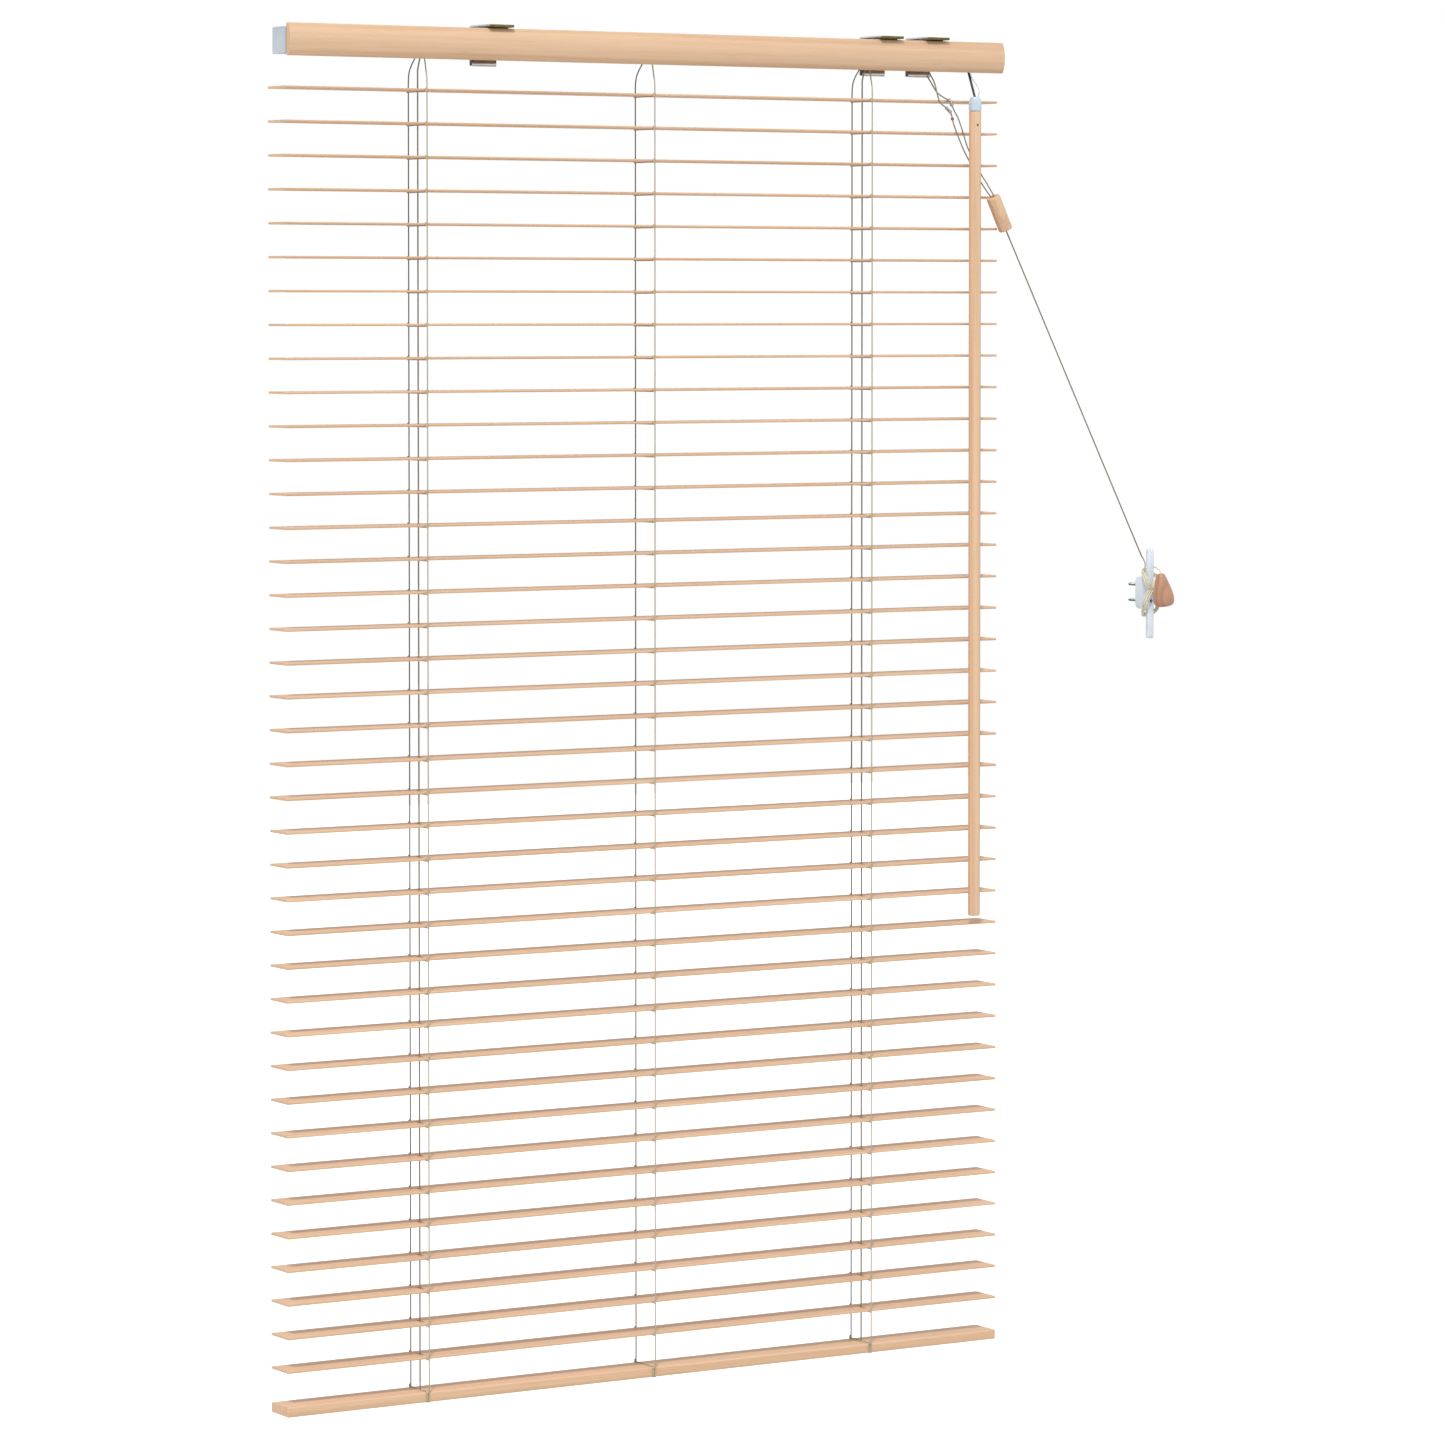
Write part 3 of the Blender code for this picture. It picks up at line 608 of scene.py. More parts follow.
CAP_PLASTIC = clear_plastic("cap_plastic", (0.65, 0.76, 0.84), (0.55, 0.67, 0.77), 0.12)
CLEAT_PLASTIC = clear_plastic("cleat_plastic", (0.71, 0.765, 0.83), (0.64, 0.70, 0.77), 0.0, 0.28)
CLEAR = clear_plastic("clear_plastic", (0.93, 0.95, 0.96), (0.85, 0.89, 0.92), 0.75, 0.08)
GREY = moulded("grey_plastic", (0.42, 0.44, 0.45), (0.34, 0.36, 0.37))
BROWN = moulded("brown_plastic", (0.26, 0.150, 0.080), (0.19, 0.105, 0.055))
DARK_PLUG = moulded("plug_plastic", (0.18, 0.13, 0.085), (0.12, 0.085, 0.055))
# Painted shade: the lift cords are coloured darker, as if in shadow.
CORD = braid("lift_cord_painted_shade", (0.36, 0.34, 0.27), (0.14, 0.135, 0.105))
STRING = braid("ladder_string", (0.56, 0.50, 0.36), (0.26, 0.23, 0.16), 1300.0)
# Painted shade: the rear strings are the front strings' colour darkened, as if in shadow.
SHADED_REAR_STRING = braid("ladder_string_rear_painted_shade", (0.24, 0.24, 0.19), (0.10, 0.105, 0.085), 1300.0)
RUNG = braid("ladder_rung", (0.62, 0.50, 0.36), (0.36, 0.28, 0.19), 1500.0)
# The pull cord's own cream colour, with painted shade on its taut stretch from the condenser.
WOUND_CORD = braid("cord_wound", (0.84, 0.77, 0.58), (0.50, 0.45, 0.32), taut=(0.30, 0.372, 0.384))

add_camera()
add_studio()


# ---- cords

def in_mm(*points):
    return [Vector(point) * MM for point in points]


def lift_cord_routes():
    """Each lift cord climbs its ladder and crosses the rail to the lock. Its tail ends in the condenser."""
    inward = (CONDENSER_END - CONDENSER_TOP).normalized() * 1.2 * MM + CONDENSER_TOP
    low = BOTTOM_RAIL_Z + BOTTOM_RAIL_HEIGHT / 2 - 2.7 * MM
    climb = in_mm((0, 0, -44), (0, -1.6, -39.5), (0, -3.6, -35), (0.4, -4.6, -31.4), (3, -5.2, -29.3))
    left, right = [[Vector((x, 0, low)), *(p + Vector((x, 0, 0)) for p in climb)]
                   for x in (LADDERS[0], LADDERS[2])]
    left += in_mm((-58, -7.4, -29), (-30, -11.5, -29), (0, -12.8, -29), (440, -12.8, -29), (470, -12.8, -29))
    left += in_mm((479, -12.8, -28.2), (484.5, -12.8, -25.6), (489, -12.8, -24.5), (492.4, -12.9, -26.6))
    left_tail = in_mm((494, -13, -31), (495.5, -13.2, -36), (498, -14.8, -41.5), (499.5, -16.6, -47.5))
    left_tail += in_mm((500.3, -18.3, -54.3), (501.5, -19, -59.5), (504.5, -19.3, -65), (511, -19.3, -69.5))
    left_tail += in_mm((516.5, -19.3, -75), (519, -19.3, -83.5), (523, -19.3, -93), (531, -19.3, -109.5))
    left_tail += in_mm((538, -19.3, -121), (545, -19.8, -132), (551, -21.5, -142.5), (556, -23.4, -150.5))
    left_tail.append(inward + Vector((-1.6, 0, -0.7)) * MM)
    right += in_mm((437, -7.2, -29), (452, -9.2, -29), (470, -9.6, -29))
    right += in_mm((479, -9.6, -28.2), (484.5, -9.6, -25.6), (489, -9.6, -24.5), (492, -9.7, -26.4))
    right_tail = in_mm((493.4, -10, -31), (494, -10.8, -38), (496.5, -12.6, -43.5), (499.5, -15.4, -50.5))
    right_tail += in_mm((501.8, -16.4, -54), (505, -17.8, -57), (509.5, -18.6, -59.5), (514, -19.1, -62))
    right_tail += in_mm((517.5, -19.3, -67), (521, -19.3, -73), (525, -19.3, -79.5), (529.5, -19.3, -90))
    right_tail += in_mm((535, -19.3, -105), (539, -19.3, -113), (545, -19.4, -123.5), (551.5, -20.4, -134))
    right_tail += in_mm((557.5, -22.6, -144), (561.3, -24.6, -151.4))
    right_tail.append(inward + Vector((1.6, 0, 0.7)) * MM)
    left.append(left_tail[0])
    right.append(right_tail[0])
    return {"left": (left, left_tail), "right": (right, right_tail)}


def make_lift_cords():
    tails = {}
    for side, (run, tail) in lift_cord_routes().items():
        line = [run[0], *curve_through(run[1:], 4)]
        stand_in(tube(f"lift_cord_{side}_run", line, CORD_RADIUS, CORD), f"lift_cord_{side}")
        line = curve_through(tail, 5)
        piece = tube(f"lift_cord_{side}_tail", line, CORD_RADIUS, CORD)
        tails[side] = (stand_in(piece, f"lift_cord_{side}"), line)
    return tails


def connector(name, line, middle_z, length):
    """A clear sleeve round a cord with a collar at each end."""
    middle = min(line, key=lambda p: abs(p.z - middle_z))
    i = line.index(middle)
    ahead = (line[min(i + 1, len(line) - 1)] - line[max(i - 1, 0)]).normalized()
    half = length / 2
    profile = [(0, -half), (1.3, -half), (1.9, -half + 0.4), (2.0, -half + 1.2), (1.55, -half + 2.0),
               (1.5, 0), (1.55, half - 2.0), (2.1, half - 1.3), (2.1, half - 0.5), (1.4, half), (0, half)]
    bm = pointing(turned_in_mm(profile, 24), middle, ahead)
    return mesh_object(name, bm, CLEAR, 40)


def make_tail_fittings(tails):
    """The connectors that part if something is caught in the cords, and a bead."""
    left, right = tails["left"][1], tails["right"][1]
    pieces = {"left": [connector("cord_connector_left", left, -0.0720, 8)],
              "right": [connector("cord_connector_right", right, -0.0635, 8)]}
    at = min(left, key=lambda p: abs(p.z + 0.0800))
    profile = [(0, -1.5), (0.9, -1.4), (1.5, -0.8), (1.7, 0), (1.5, 0.8), (0.9, 1.4), (0, 1.5)]
    bead = pointing(turned_in_mm(profile, 24), at, (0.4, 0, -0.9))
    pieces["left"].append(mesh_object("cord_bead", bead, BROWN, 60))
    for side, found in pieces.items():
        for piece in found:
            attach(piece, "head_assembly")


def winding():
    """The pull cord's figure of eight round the cleat, each pass laid beside and over the last."""
    turns, steps = 3, 24
    points = []
    for i in range(turns * steps + 1):
        turn = i / steps
        angle = tau * turn
        behind = cos(angle) ** 4
        crossing = (1 - behind) ** 4
        front = -11 * MM - 1.5 * MM * turn
        aside = 1.5 * MM * (turn - turns / 2) - 3.2 * MM
        x = 8 * MM * sin(2 * angle) + aside * crossing
        y = front + (4 * MM - front) * behind
        z = (20 * MM + 1.5 * MM * turn) * cos(angle) + 3 * MM * crossing
        points.append(CLEAT + Vector((x, y, z)))
    return points


def make_pull_cord():
    along = (CONDENSER_END - CONDENSER_TOP).normalized()
    start = CONDENSER_END - along * 0.8 * MM
    held = in_mm((-7.2, -0.6, 38.9), (-2, -0.2, 30.9), (-0.4, 2.2, 25))
    loose = in_mm((4.9, 1.5, 25), (6.2, -3, 26.3), (5.2, -9, 26), (2.7, -15.5, 24.8))
    loose += in_mm((0.1, -21.7, 24.3), (-2.1, -27, 22.9))
    bound = [CLEAT + p for p in held] + winding() + [CLEAT + p for p in loose]
    bound.append(KNOB_TOP - Vector((0, 0, 1.0 * MM)))
    line = [start, *curve_through(bound, 3)]
    piece = tube("pull_cord_looks", line, CORD_RADIUS, WOUND_CORD, 12)
    return stand_in(piece, "pull_cord"), line


tails = make_lift_cords()
make_tail_fittings(tails)
pull_cord, pull_line = make_pull_cord()


def make_condenser():
    """A turned wooden barrel with a hole at each end for the cords."""
    length = (CONDENSER_END - CONDENSER_TOP).length / MM
    radius = CONDENSER_RADIUS / MM
    profile = [(0, 1.6), (2.6, 1.6), (2.9, 1.2), (3.1, 0.25), (3.4, 0.0), (radius - 1.3, 0),
               (radius - 0.5, 0.25), (radius - 0.1, 0.8), (radius, 1.6), (radius, length - 1.6),
               (radius - 0.1, length - 0.8), (radius - 0.5, length - 0.25), (radius - 1.3, length),
               (1.9, length), (1.6, length - 0.3), (1.5, length - 1.5), (0, length - 1.5)]
    bm = turned_in_mm(profile, 56)
    piece = mesh_object("condenser_barrel", pointing(bm, CONDENSER_TOP, CONDENSER_END - CONDENSER_TOP),
                        wood("wood_condenser", *LIGHT_WOOD, turn=(0, radians(63.6), 0)), 40)
    return stand_in(piece, "cord_condenser")


def make_knob():
    """A pear-shaped knob, narrow at the top, with the cord's hole in its crown."""
    shares = [(0.20, 0.0), (0.32, 0.015), (0.41, 0.055), (0.49, 0.12), (0.60, 0.225), (0.77, 0.40),
              (0.92, 0.58), (0.995, 0.75), (0.975, 0.855), (0.885, 0.935), (0.70, 0.982), (0.45, 0.997),
              (0.2, 1.0)]
    line = curve_through([Vector((r, h, 0)) for r, h in shares], 4)
    profile = [(0, 0.045), (0.1, 0.045), (0.115, 0.006), (0.16, 0.0)]
    profile += [(p.x, min(max(p.y, 0.0), 1.0)) for p in line] + [(0, 1.0)]
    bm = turned([(r * KNOB_RADIUS, h * KNOB_LENGTH) for r, h in profile], 56)
    down = (sin(KNOB_LEAN), 0, -cos(KNOB_LEAN))
    piece = mesh_object("knob_pear", pointing(bm, KNOB_TOP, down), DARK_WOOD, 50)
    return stand_in(piece, "cord_knob")


condenser, knob = make_condenser(), make_knob()


# ---- slats, ladders and bottom rail

def make_slats():
    """Slats with round edges. The lift cords' slots are in them at the left and right ladders only."""
    outline = rounded_bar(SLAT_DEPTH, SLAT_THICKNESS, 0.75 * MM)
    bm = along_x(outline, -SLAT_LENGTH / 2, SLAT_LENGTH / 2, 0.3 * MM)
    blank = mesh_object("slat_blank", bm, WOOD)
    cut(blank, [stadium(side * LADDER_SPACING, -2 * MM, 2 * MM, CORD_SLOT_LENGTH, CORD_SLOT_WIDTH)
                for side in (-1, 1)])
    for number in range(SLAT_COUNT):
        node = f"slat_{number + 1:02d}"
        mesh = blank.data.copy()
        mesh.transform(Matrix.Translation((BLIND_MIDDLE, 0, FIRST_SLAT_Z - number * SLAT_PITCH)))
        stand_in(object_of(f"{node}_wood", mesh, WOOD), node, node)
    bpy.data.objects.remove(blank)


def rung_into(bm, x, z, half, drop):
    """One rung: a thin thread under a slat from front string to rear string, with a knot at each end."""
    ahead = [(-half, z + 0.2 * MM), (-half + 0.9 * MM, z - drop * 0.75), (-half + 3 * MM, z - drop)]
    places = [*ahead, (0, z - drop), *((-y, height) for y, height in reversed(ahead))]
    tube_into(bm, curve_through([(x, y, height) for y, height in places], 3), RUNG_RADIUS, 8)
    for y in (-half, half):
        knot = [(x, y, z + height * MM) for height in (-1.3, -0.5, 0.4, 1.2)]
        tube_into(bm, knot, STRING_RADIUS * 1.45, 10)


STRING_Y = SLAT_DEPTH / 2 + STRING_RADIUS + 0.2 * MM


def make_rungs():
    for number in range(SLAT_COUNT):
        bm = bmesh.new()
        z = FIRST_SLAT_Z - number * SLAT_PITCH
        for x in LADDERS:
            rung_into(bm, x - 1.1 * MM, z, STRING_Y, SLAT_THICKNESS / 2 + RUNG_RADIUS)
        piece = mesh_object(f"rungs_{number + 1:02d}", bm, RUNG, 60)
        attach(piece, f"slat_{number + 1:02d}")


def make_strings():
    """Front and rear strings of each ladder."""
    top, shoulder, slat = -29.6 * MM, -38.5 * MM, FIRST_SLAT_Z + 5 * MM
    foot = BOTTOM_RAIL_Z + BOTTOM_RAIL_HEIGHT / 2 + 0.2 * MM
    for name, x in zip(("left", "middle", "right"), LADDERS):
        # The rear strings' material is darkened with painted shade.
        for face, y, entry, spread, material in (("front", -STRING_Y, -13.5 * MM, 4 * MM, STRING),
                                                 ("rear", STRING_Y, 5.2 * MM, 0, SHADED_REAR_STRING)):
            line = curve_through([(x, entry, top), (x, entry, top - 2.6 * MM),
                                  (x, entry * 0.5 + y * 0.5, shoulder - spread),
                                  (x, entry * 0.12 + y * 0.88, shoulder - 7 * MM - spread),
                                  (x, y, slat + 2.5 * MM), (x, y, slat - 12 * MM)], 5)
            straight = [Vector((x, y, line[-1].z + (foot - line[-1].z) * i / 80)) for i in range(1, 81)]
            piece = tube(f"ladder_string_{name}_{face}", line + straight, STRING_RADIUS, material, 8)
            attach(piece, "head_assembly")
            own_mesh(piece)


def make_bottom_rail():
    outline = rounded_bar(SLAT_DEPTH, BOTTOM_RAIL_HEIGHT, 1.3 * MM, 5)
    outline = [(y, z + BOTTOM_RAIL_Z) for y, z in outline]
    piece = mesh_object("bottom_rail_wood", along_x(outline, SLAT_LEFT, SLAT_RIGHT, 0.5 * MM), WOOD)
    stand_in(piece, "bottom_rail", "bottom_rail")


def make_rail_strings():
    """Strings over the rail's top and down its faces to the plugs under it, and the plugs."""
    top = BOTTOM_RAIL_Z + BOTTOM_RAIL_HEIGHT / 2
    low = BOTTOM_RAIL_Z - BOTTOM_RAIL_HEIGHT / 2
    bm, plugs = bmesh.new(), bmesh.new()
    for x in LADDERS:
        rung_into(bm, x - 1.1 * MM, top + 0.6 * MM + RUNG_RADIUS, STRING_Y, RUNG_RADIUS)
        for side in (-1, 1):
            y = side * STRING_Y
            under = [(x, y - side * inward * MM, low + rise * MM)
                     for inward, rise in ((0, 0.9), (0.9, 0.25), (2.4, 0.45), (4.5, 0.7))]
            line = curve_through([(x, y, top + 0.6 * MM), (x, y, BOTTOM_RAIL_Z), *under], 5)
            tube_into(bm, line, STRING_RADIUS, 8)
            if side < 0:
                tube_into(bm, [p - Vector((2.4 * MM, 0, 0)) for p in line], STRING_RADIUS * 0.9, 8)
            profile = [(0, 1.2), (2.6, 1.2), (3.4, 0.5), (3.4, 0.18), (3.0, 0.02), (1.2, 0.02), (0.9, 0.3),
                       (0, 0.3)]
            joined(plugs, turned_in_mm(profile, 28, (x, side * 13.6 * MM, low)))
    for x in (LADDERS[0], LADDERS[2]):
        profile = [(0, 1.4), (3.6, 1.4), (4.4, 0.6), (4.4, 0.2), (3.9, 0.02), (1.6, 0.02), (1.3, 0.5),
                   (0, 0.5)]
        joined(plugs, turned_in_mm(profile, 32, (x, 0, low)))
    strings = mesh_object("bottom_rail_strings", bm, STRING, 60)
    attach(strings, "bottom_rail")
    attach(mesh_object("bottom_rail_plugs", plugs, DARK_PLUG, 40), "bottom_rail")


make_slats()
make_rungs()
make_strings()
make_bottom_rail()
make_rail_strings()


# ---- head rail, valance and brackets

def stem_point(height):
    """The middle of the tilter's leaning stem at a height."""
    lean = sin(STEM_SLANT) / cos(STEM_SLANT)
    return Vector((WAND_X, WAND_Y + (height - HINGE_BALL_Z) * lean, height))


def make_head_rail():
    wall, half = RAIL_WALL, RAIL_WALL / 2
    front, back, low, high = RAIL_FRONT + half, RAIL_BACK - half, RAIL_BOTTOM + half, RAIL_TOP - half
    path = rounded([(front + RAIL_LIP - half, high), (front, high), (front, low), (back, low), (back, high),
                    (back - RAIL_LIP + half, high)], 0.9 * MM, 4)
    inset = 1.5 * MM
    bm = along_x(sheet_outline(path, wall), SLAT_LEFT + inset, SLAT_RIGHT - inset)
    rail = mesh_object("head_rail_channel", bm, ENAMEL)
    floor = (RAIL_BOTTOM - MM, RAIL_BOTTOM + wall + MM)
    reach = 4.5 * MM
    cutters = [box((x - reach, -15 * MM, floor[0]), (x + reach, 6 * MM, floor[1])) for x in LADDERS]
    cutters.append(box((490 * MM, -15 * MM, floor[0]), (503 * MM, -7.8 * MM, floor[1])))
    cutters.append(rod_between(stem_point(RAIL_BOTTOM - 2 * MM), stem_point(RAIL_BOTTOM + 3 * MM), 2.2 * MM))
    cut(rail, cutters)
    stand_in(smoothed(rail, ENAMEL, 30), "head_rail")


def make_end_caps():
    """A moulded cover with a raised rim, and its plug inside the channel."""
    middle = ((RAIL_FRONT + RAIL_BACK) / 2, (RAIL_BOTTOM + RAIL_TOP) / 2)
    depth, height = RAIL_BACK - RAIL_FRONT, RAIL_TOP - RAIL_BOTTOM
    for side, edge, inward in (("left", SLAT_LEFT, 1), ("right", SLAT_RIGHT, -1)):
        rings = []
        for step, shrink, radius in ((1.2, 0, 1.4), (0.4, 0, 1.4), (0.12, 0.16, 1.3), (0, 0.45, 1.2),
                                     (0, 1.3, 0.8), (0.18, 1.6, 0.7), (0.22, 2.0, 0.6)):
            outline = rounded_bar(depth - 2 * shrink * MM, height - 2 * shrink * MM, radius * MM, 5)
            rings.append([(edge + inward * step * MM, middle[0] + y, middle[1] + z) for y, z in outline])
        bm = loft(rings)
        plug = RAIL_WALL + 0.3 * MM
        outline = rounded_bar(depth - 2 * plug, height - 2 * plug, 0.8 * MM, 3)
        joined(bm, loft([[(edge + inward * x * MM, middle[0] + y * s, middle[1] + z * s) for y, z in outline]
                         for x, s in ((1.1, 1.0), (4.1, 1.0), (4.5, 0.96))]))
        stand_in(mesh_object(f"end_cap_{side}_cover", bm, ENAMEL, 30), f"end_cap_{side}")


def make_valance():
    """Flat at the back, crowned in front, with eased long edges."""
    middle = (VALANCE_BOTTOM + VALANCE_TOP) / 2
    half = (VALANCE_TOP - VALANCE_BOTTOM) / 2
    rise = VALANCE_CROWN - VALANCE_EDGE
    radius = (half**2 + rise**2) / (2 * rise)
    corners = []
    for i in range(37):
        height = half * (2 * i / 36 - 1)
        bulge = sqrt(radius**2 - height**2) - (radius - rise)
        corners.append((VALANCE_BACK - VALANCE_EDGE - bulge, middle + height))
    ease = 0.7 * MM
    outline = [(VALANCE_BACK, VALANCE_TOP - ease), (VALANCE_BACK, VALANCE_BOTTOM + ease),
               (VALANCE_BACK - ease * 0.3, VALANCE_BOTTOM + ease * 0.3),
               (VALANCE_BACK - ease, VALANCE_BOTTOM)]
    first = corners[0]
    outline += [(first[0] + ease, first[1]), (first[0] + ease * 0.25, first[1] + ease * 0.25)]
    outline += [c for c in corners[1:-1] if abs(c[1] - middle) < half - ease * 0.6]
    last = corners[-1]
    outline += [(last[0] + ease * 0.25, last[1] - ease * 0.25), (last[0] + ease, last[1])]
    outline += [(VALANCE_BACK - ease, VALANCE_TOP), (VALANCE_BACK - ease * 0.3, VALANCE_TOP - ease * 0.3)]
    left, right = SLAT_LEFT - 0.75 * MM, SLAT_RIGHT + 0.75 * MM
    bm = along_x(outline, left, right, 0.35 * MM)
    stand_in(mesh_object("valance_wood", bm, WOOD, 24), "valance")


def make_bracket_plate(side, middle, pocket_front):
    """The bent steel plate: a flat top, a back against the wall and a pocket under the rail."""
    sheet, half_sheet, half = BRACKET_SHEET, BRACKET_SHEET / 2, BRACKET_WIDTH / 2
    low, screw_z = BRACKET_BOTTOM + half_sheet, -17 * MM
    front, back = pocket_front + half_sheet, WALL_Y - half_sheet
    path = rounded([(front, BRACKET_BOTTOM + 2.3 * sheet), (front, low), (back, low), (back, -half_sheet),
                    (BRACKET_FRONT, -half_sheet)], 1.1 * MM, 4)
    bm = along_x(sheet_outline(path, sheet), middle - half, middle + half)
    plate = mesh_object(f"bracket_{side}_plate", bm, STEEL)
    screws = [middle + offset * MM for offset in (-7, 7)]
    cutters = [stadium(x, -3 * MM, MM, 9 * MM, 4.2 * MM, 10, -6 * MM) for x in screws]
    cutters += [rod_between((x, WALL_Y - 4 * MM, screw_z), (x, WALL_Y + 2 * MM, screw_z), 2.1 * MM, 24)
                for x in screws]
    cut(plate, cutters, 0.18 * MM)
    stand_in(smoothed(plate, STEEL), f"bracket_{side}")


def make_brackets():
    """Each bracket's plate, two gussets, the yellow front clip, and the brown saddle and lever."""
    sheet, back, half = BRACKET_SHEET, WALL_Y, BRACKET_WIDTH / 2
    pocket_front = back - 6.5 * MM
    gusset_low, gusset_top, pocket_top = BRACKET_BOTTOM + 0.7 * MM, -32.2 * MM, -32 * MM
    for side, middle in BRACKET_MIDDLES.items():
        make_bracket_plate(side, middle, pocket_front)

        gussets = bmesh.new()
        for x in (middle - half, middle + half - sheet):
            outline = [(pocket_front + 0.3 * MM, BRACKET_BOTTOM + 1.6 * MM),
                       (pocket_front + 1.2 * MM, gusset_low), (back - 0.6 * MM, gusset_low),
                       (back - 0.6 * MM, gusset_top), (pocket_front + 1.0 * MM, gusset_top),
                       (pocket_front + 0.3 * MM, -33.0 * MM)]
            joined(gussets, along_x(outline, x, x + sheet, 0.25 * MM))
        gussets = mesh_object(f"bracket_{side}_gussets", gussets, HOOK_STEEL)
        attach(gussets, "head_assembly")

        rear, front = RAIL_FRONT - 0.85 * MM, BRACKET_FRONT - 0.7 * MM
        grip = [(rear, -12 * MM), (rear, -2.3 * MM), (front, -2.3 * MM), (front, -0.5 * MM)]
        grip = sheet_outline(rounded(grip, 0.6 * MM, 3), 1.1 * MM)
        bm = along_x(grip, middle - half + 0.2 * MM, middle + half - 0.2 * MM)
        eased_piece(f"bracket_{side}_clip", bm, YELLOW_STEEL, 0.12 * MM, 2)

        saddle = box((middle - half + 1.7 * MM, pocket_front + 1.7 * MM, BRACKET_BOTTOM + 1.7 * MM),
                     (middle + half - 1.7 * MM, back - 1.7 * MM, pocket_top))
        eased_piece(f"bracket_{side}_saddle", saddle, BROWN, 0.5 * MM, 3)

        lever = box((middle - half + 0.6 * MM, pocket_front - 1.9 * MM, BRACKET_BOTTOM + 2.8 * MM),
                    (middle + half - 2.4 * MM, pocket_front - 0.15 * MM, pocket_top))
        eased_piece(f"bracket_{side}_lever", lever, BROWN, 0.4 * MM, 3)


make_head_rail()
make_end_caps()
make_valance()
make_brackets()


# ---- wand and cleat

def make_wand():
    """The clear cap with its socket, and the wooden rod with the head of its pin."""
    cap_height = (CAP_TOP - CAP_BOTTOM) / MM
    body = 6.3
    profile = [(0, 0), (body - 0.5, 0), (body - 0.1, 0.15), (body, 0.6), (body, cap_height - 7.0),
               (body - 0.15, cap_height - 5.2), (body - 0.6, cap_height - 3.3), (body - 1.2, cap_height - 1.6),
               (body - 1.7, cap_height - 0.5), (body - 2.1, cap_height - 0.08), (body - 2.5, cap_height),
               (3.3, cap_height - 0.3), (3.2, cap_height - 1.0), (3.1, cap_height - 5.8),
               (2.2, cap_height - 6.6), (0, cap_height - 6.9)]
    bm = turned_in_mm(profile, 56, (WAND_X, WAND_Y, CAP_BOTTOM))
    stand_in(mesh_object("wand_cap_moulding", bm, CAP_PLASTIC, 50), "wand_cap", "wand_cap")

    radius, length = WAND_RADIUS / MM, (WAND_TOP - WAND_BOTTOM) / MM
    profile = [(0, 0), (radius - 1.2, 0), (radius - 0.5, 0.2), (radius - 0.12, 0.6), (radius, 1.2)]
    profile += [(radius, 1.2 + (length - 2.0) * i / 12) for i in range(1, 12)]
    profile += [(radius, length - 0.8), (radius - 0.2, length - 0.2), (radius - 0.6, length), (0, length)]
    wand = mesh_object("wand_rod", turned_in_mm(profile, 48, (WAND_X, WAND_Y, WAND_BOTTOM)), WAND_WOOD, 40)
    pin_z = -86 * MM
    aim = Vector((-0.12, -1, 0)).normalized()
    middle = Vector((WAND_X, WAND_Y, pin_z))
    cut(wand, [rod_between(middle + aim * 4.6 * MM, middle + aim * 8 * MM, 1.15 * MM, 24)])
    stand_in(smoothed(wand, WAND_WOOD, 40), "wand", "wand")
    pin = turned_in_mm([(0, 0), (1.05, 0), (1.05, 0.55), (0.8, 0.8), (0, 0.8)], 24)
    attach(mesh_object("wand_pin", pointing(pin, middle + aim * 4.5 * MM, aim), HOOK_STEEL, 40), "wand")


def make_hook():
    """The clear safety loop beside the tilter's stem, which holds the cap if the stem slips out.

    It is limp, so its upper part stays with the head rail and its lower part follows the cap.
    """
    top, low = stem_point(-32.5 * MM), stem_point(HINGE_BALL_Z)
    line = curve_through([top + Vector((2.6, -0.4, 0)) * MM, top + Vector((2.9, -1.6, -6)) * MM,
                          low + Vector((3.7, -0.8, 10)) * MM, low + Vector((4.0, 0, 3.2)) * MM,
                          low + Vector((4.2, 0.2, -1.0)) * MM], 6)
    meeting = next(i for i, point in enumerate(line) if point.z < -48 * MM)
    parts = (("upper", line[:meeting + 1], "head_assembly"), ("lower", line[meeting:], "wand_cap"))
    for name, points, body in parts:
        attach(tube(f"wand_link_{name}", points, 0.45 * MM, CLEAR), body)


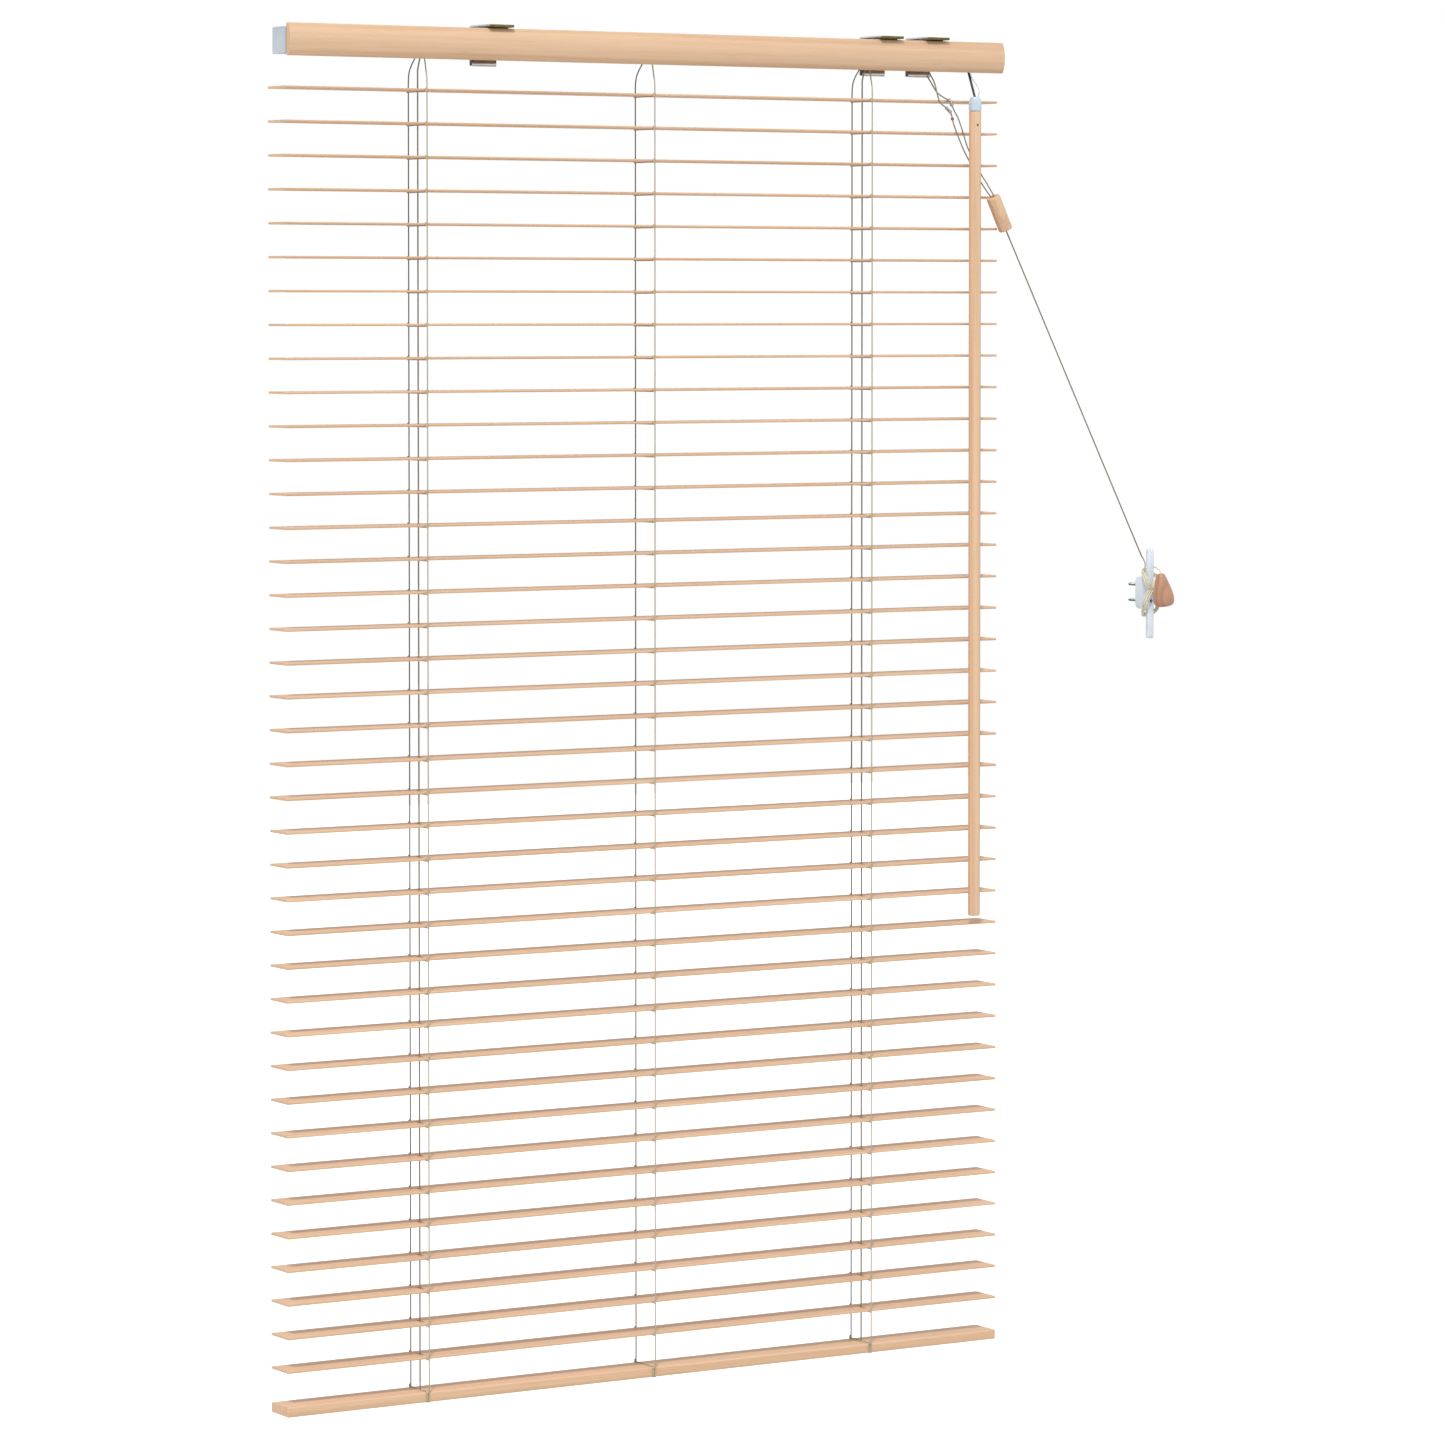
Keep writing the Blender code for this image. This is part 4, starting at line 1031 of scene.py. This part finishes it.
def make_cleat():
    """The two-horned cleat and the two screws that stand out behind it."""
    tip, front, horn_back = CLEAT_HALF_HEIGHT / MM, -8.5, -3.5
    upper = [(CLEAT_BACK / MM, 13), (12.6, 15.6), (8, 16.6), (1.5, 16.4), (-1.6, 16.8), (-2.9, 17.5),
             (horn_back, 19), (horn_back - 0.1, tip - 3.5), (horn_back - 0.6, tip - 1.2),
             (horn_back - 1.6, tip - 0.1), (front + 1.6, tip - 0.1), (front + 0.6, tip - 1.2),
             (front + 0.1, tip - 3.5), (front, 20)]
    outline = [(y * MM + CLEAT.y, z * MM + CLEAT.z) for y, z in upper]
    outline += [(y * MM + CLEAT.y, -z * MM + CLEAT.z) for y, z in reversed(upper)]
    bm = along_x(outline, CLEAT.x - CLEAT_HALF_WIDTH * 0.9, CLEAT.x + CLEAT_HALF_WIDTH * 0.9)
    cleat = mesh_object("cleat_moulding", bm, CLEAT_PLASTIC)
    add_bevel(cleat, 0.9 * MM, 4, 50)
    evaluated(cleat)
    cutters = []
    for z in (8 * MM, -8 * MM):
        start = CLEAT + Vector((0, front * MM - 2 * MM, z))
        cutters.append(rod_between(start, CLEAT + Vector((0, CLEAT_BACK + 2 * MM, z)), 1.75 * MM, 28))
    cut(cleat, cutters)
    stand_in(smoothed(cleat, CLEAT_PLASTIC, 40), "cord_cleat")
    for name, z in (("upper", 8.5 * MM), ("lower", -8.5 * MM)):
        start = CLEAT + Vector((0, front * MM + 1.2 * MM, z - 0.5 * MM * (1 if z > 0 else -1)))
        long = CLEAT_BACK - front * MM + 16 * MM
        profile = [(0, 0), (1.68, 0), (1.68, 0.5), (1.2, 2.0), (1.15, CLEAT_BACK / MM + 6)]
        along = CLEAT_BACK / MM + 6
        while along < long / MM - 3:
            profile += [(1.15, along), (1.55, along + 0.35), (1.15, along + 0.7)]
            along += 0.9
        profile += [(0.9, long / MM - 2), (0, long / MM)]
        bm = pointing(turned_in_mm(profile, 24), start, (0, 1, 0))
        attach(mesh_object(f"cleat_screw_{name}", bm, DARK_STEEL, 30), "head_assembly")


make_wand()
make_hook()
make_cleat()


# ---- the drive in the head rail

def paint(nodes, material):
    """Gives CAD nodes that stay as they are a material."""
    for name in nodes:
        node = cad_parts[name]
        for material_slot in node.material_slots:
            material_slot.link = "OBJECT"
            material_slot.material = material


paint(["tilter_worm"], HOOK_STEEL)
paint(["tilt_rod"], STEEL)
paint(["tilter_housing", "cord_lock", "cord_lock_pawl"], GREY)


def make_drum_cradles():
    """A support on each side of a ladder drum, with a notch for the rod and one for the lift cords."""
    notch, rod_y, rod_z = 3.1, ROD_Y / MM, ROD_Z / MM
    for name, x in zip(("left", "middle", "right"), LADDERS):
        bm = bmesh.new()
        for side in (-1, 1):
            outline = [(-16.4, -14), (-16.4, -30.6), (-14.6, -30.6), (-14.6, -27.2), (-7.0, -27.2),
                       (-7.0, -30.6), (6.4, -30.6), (6.4, -14), (3.4, -12.6), (2.3, -14.4)]
            outline += [(rod_y + notch * cos(radians(a)), rod_z - notch * sin(radians(a)))
                        for a in range(0, 181, 20)]
            outline += [(-4.3, -14.4), (-5.4, -12.6)]
            start = x + side * 5.1 * MM
            ends = sorted((start, start + side * 1.6 * MM))
            joined(bm, along_x([(y * MM, z * MM) for y, z in outline], *ends))
        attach(mesh_object(f"drum_cradle_{name}", bm, GREY, 30), "head_assembly")


def make_valance_clips():
    """Clear clips that hook over the rail's lip and hold the valance's back."""
    for name, x in (("left", -150 * MM), ("middle", 175 * MM), ("right", 400 * MM)):
        corners = ((-15.6, -5.9), (-18.75, -5.9), (-18.75, -27), (-21.45, -27), (-21.45, -12))
        path = rounded([(y * MM, z * MM) for y, z in corners], 0.6 * MM, 3)
        bm = along_x(sheet_outline(path, 0.9 * MM), x - 9 * MM, x + 9 * MM)
        eased_piece(f"valance_clip_{name}", bm, CLEAR, 0.12 * MM, 2)


make_drum_cradles()
make_valance_clips()
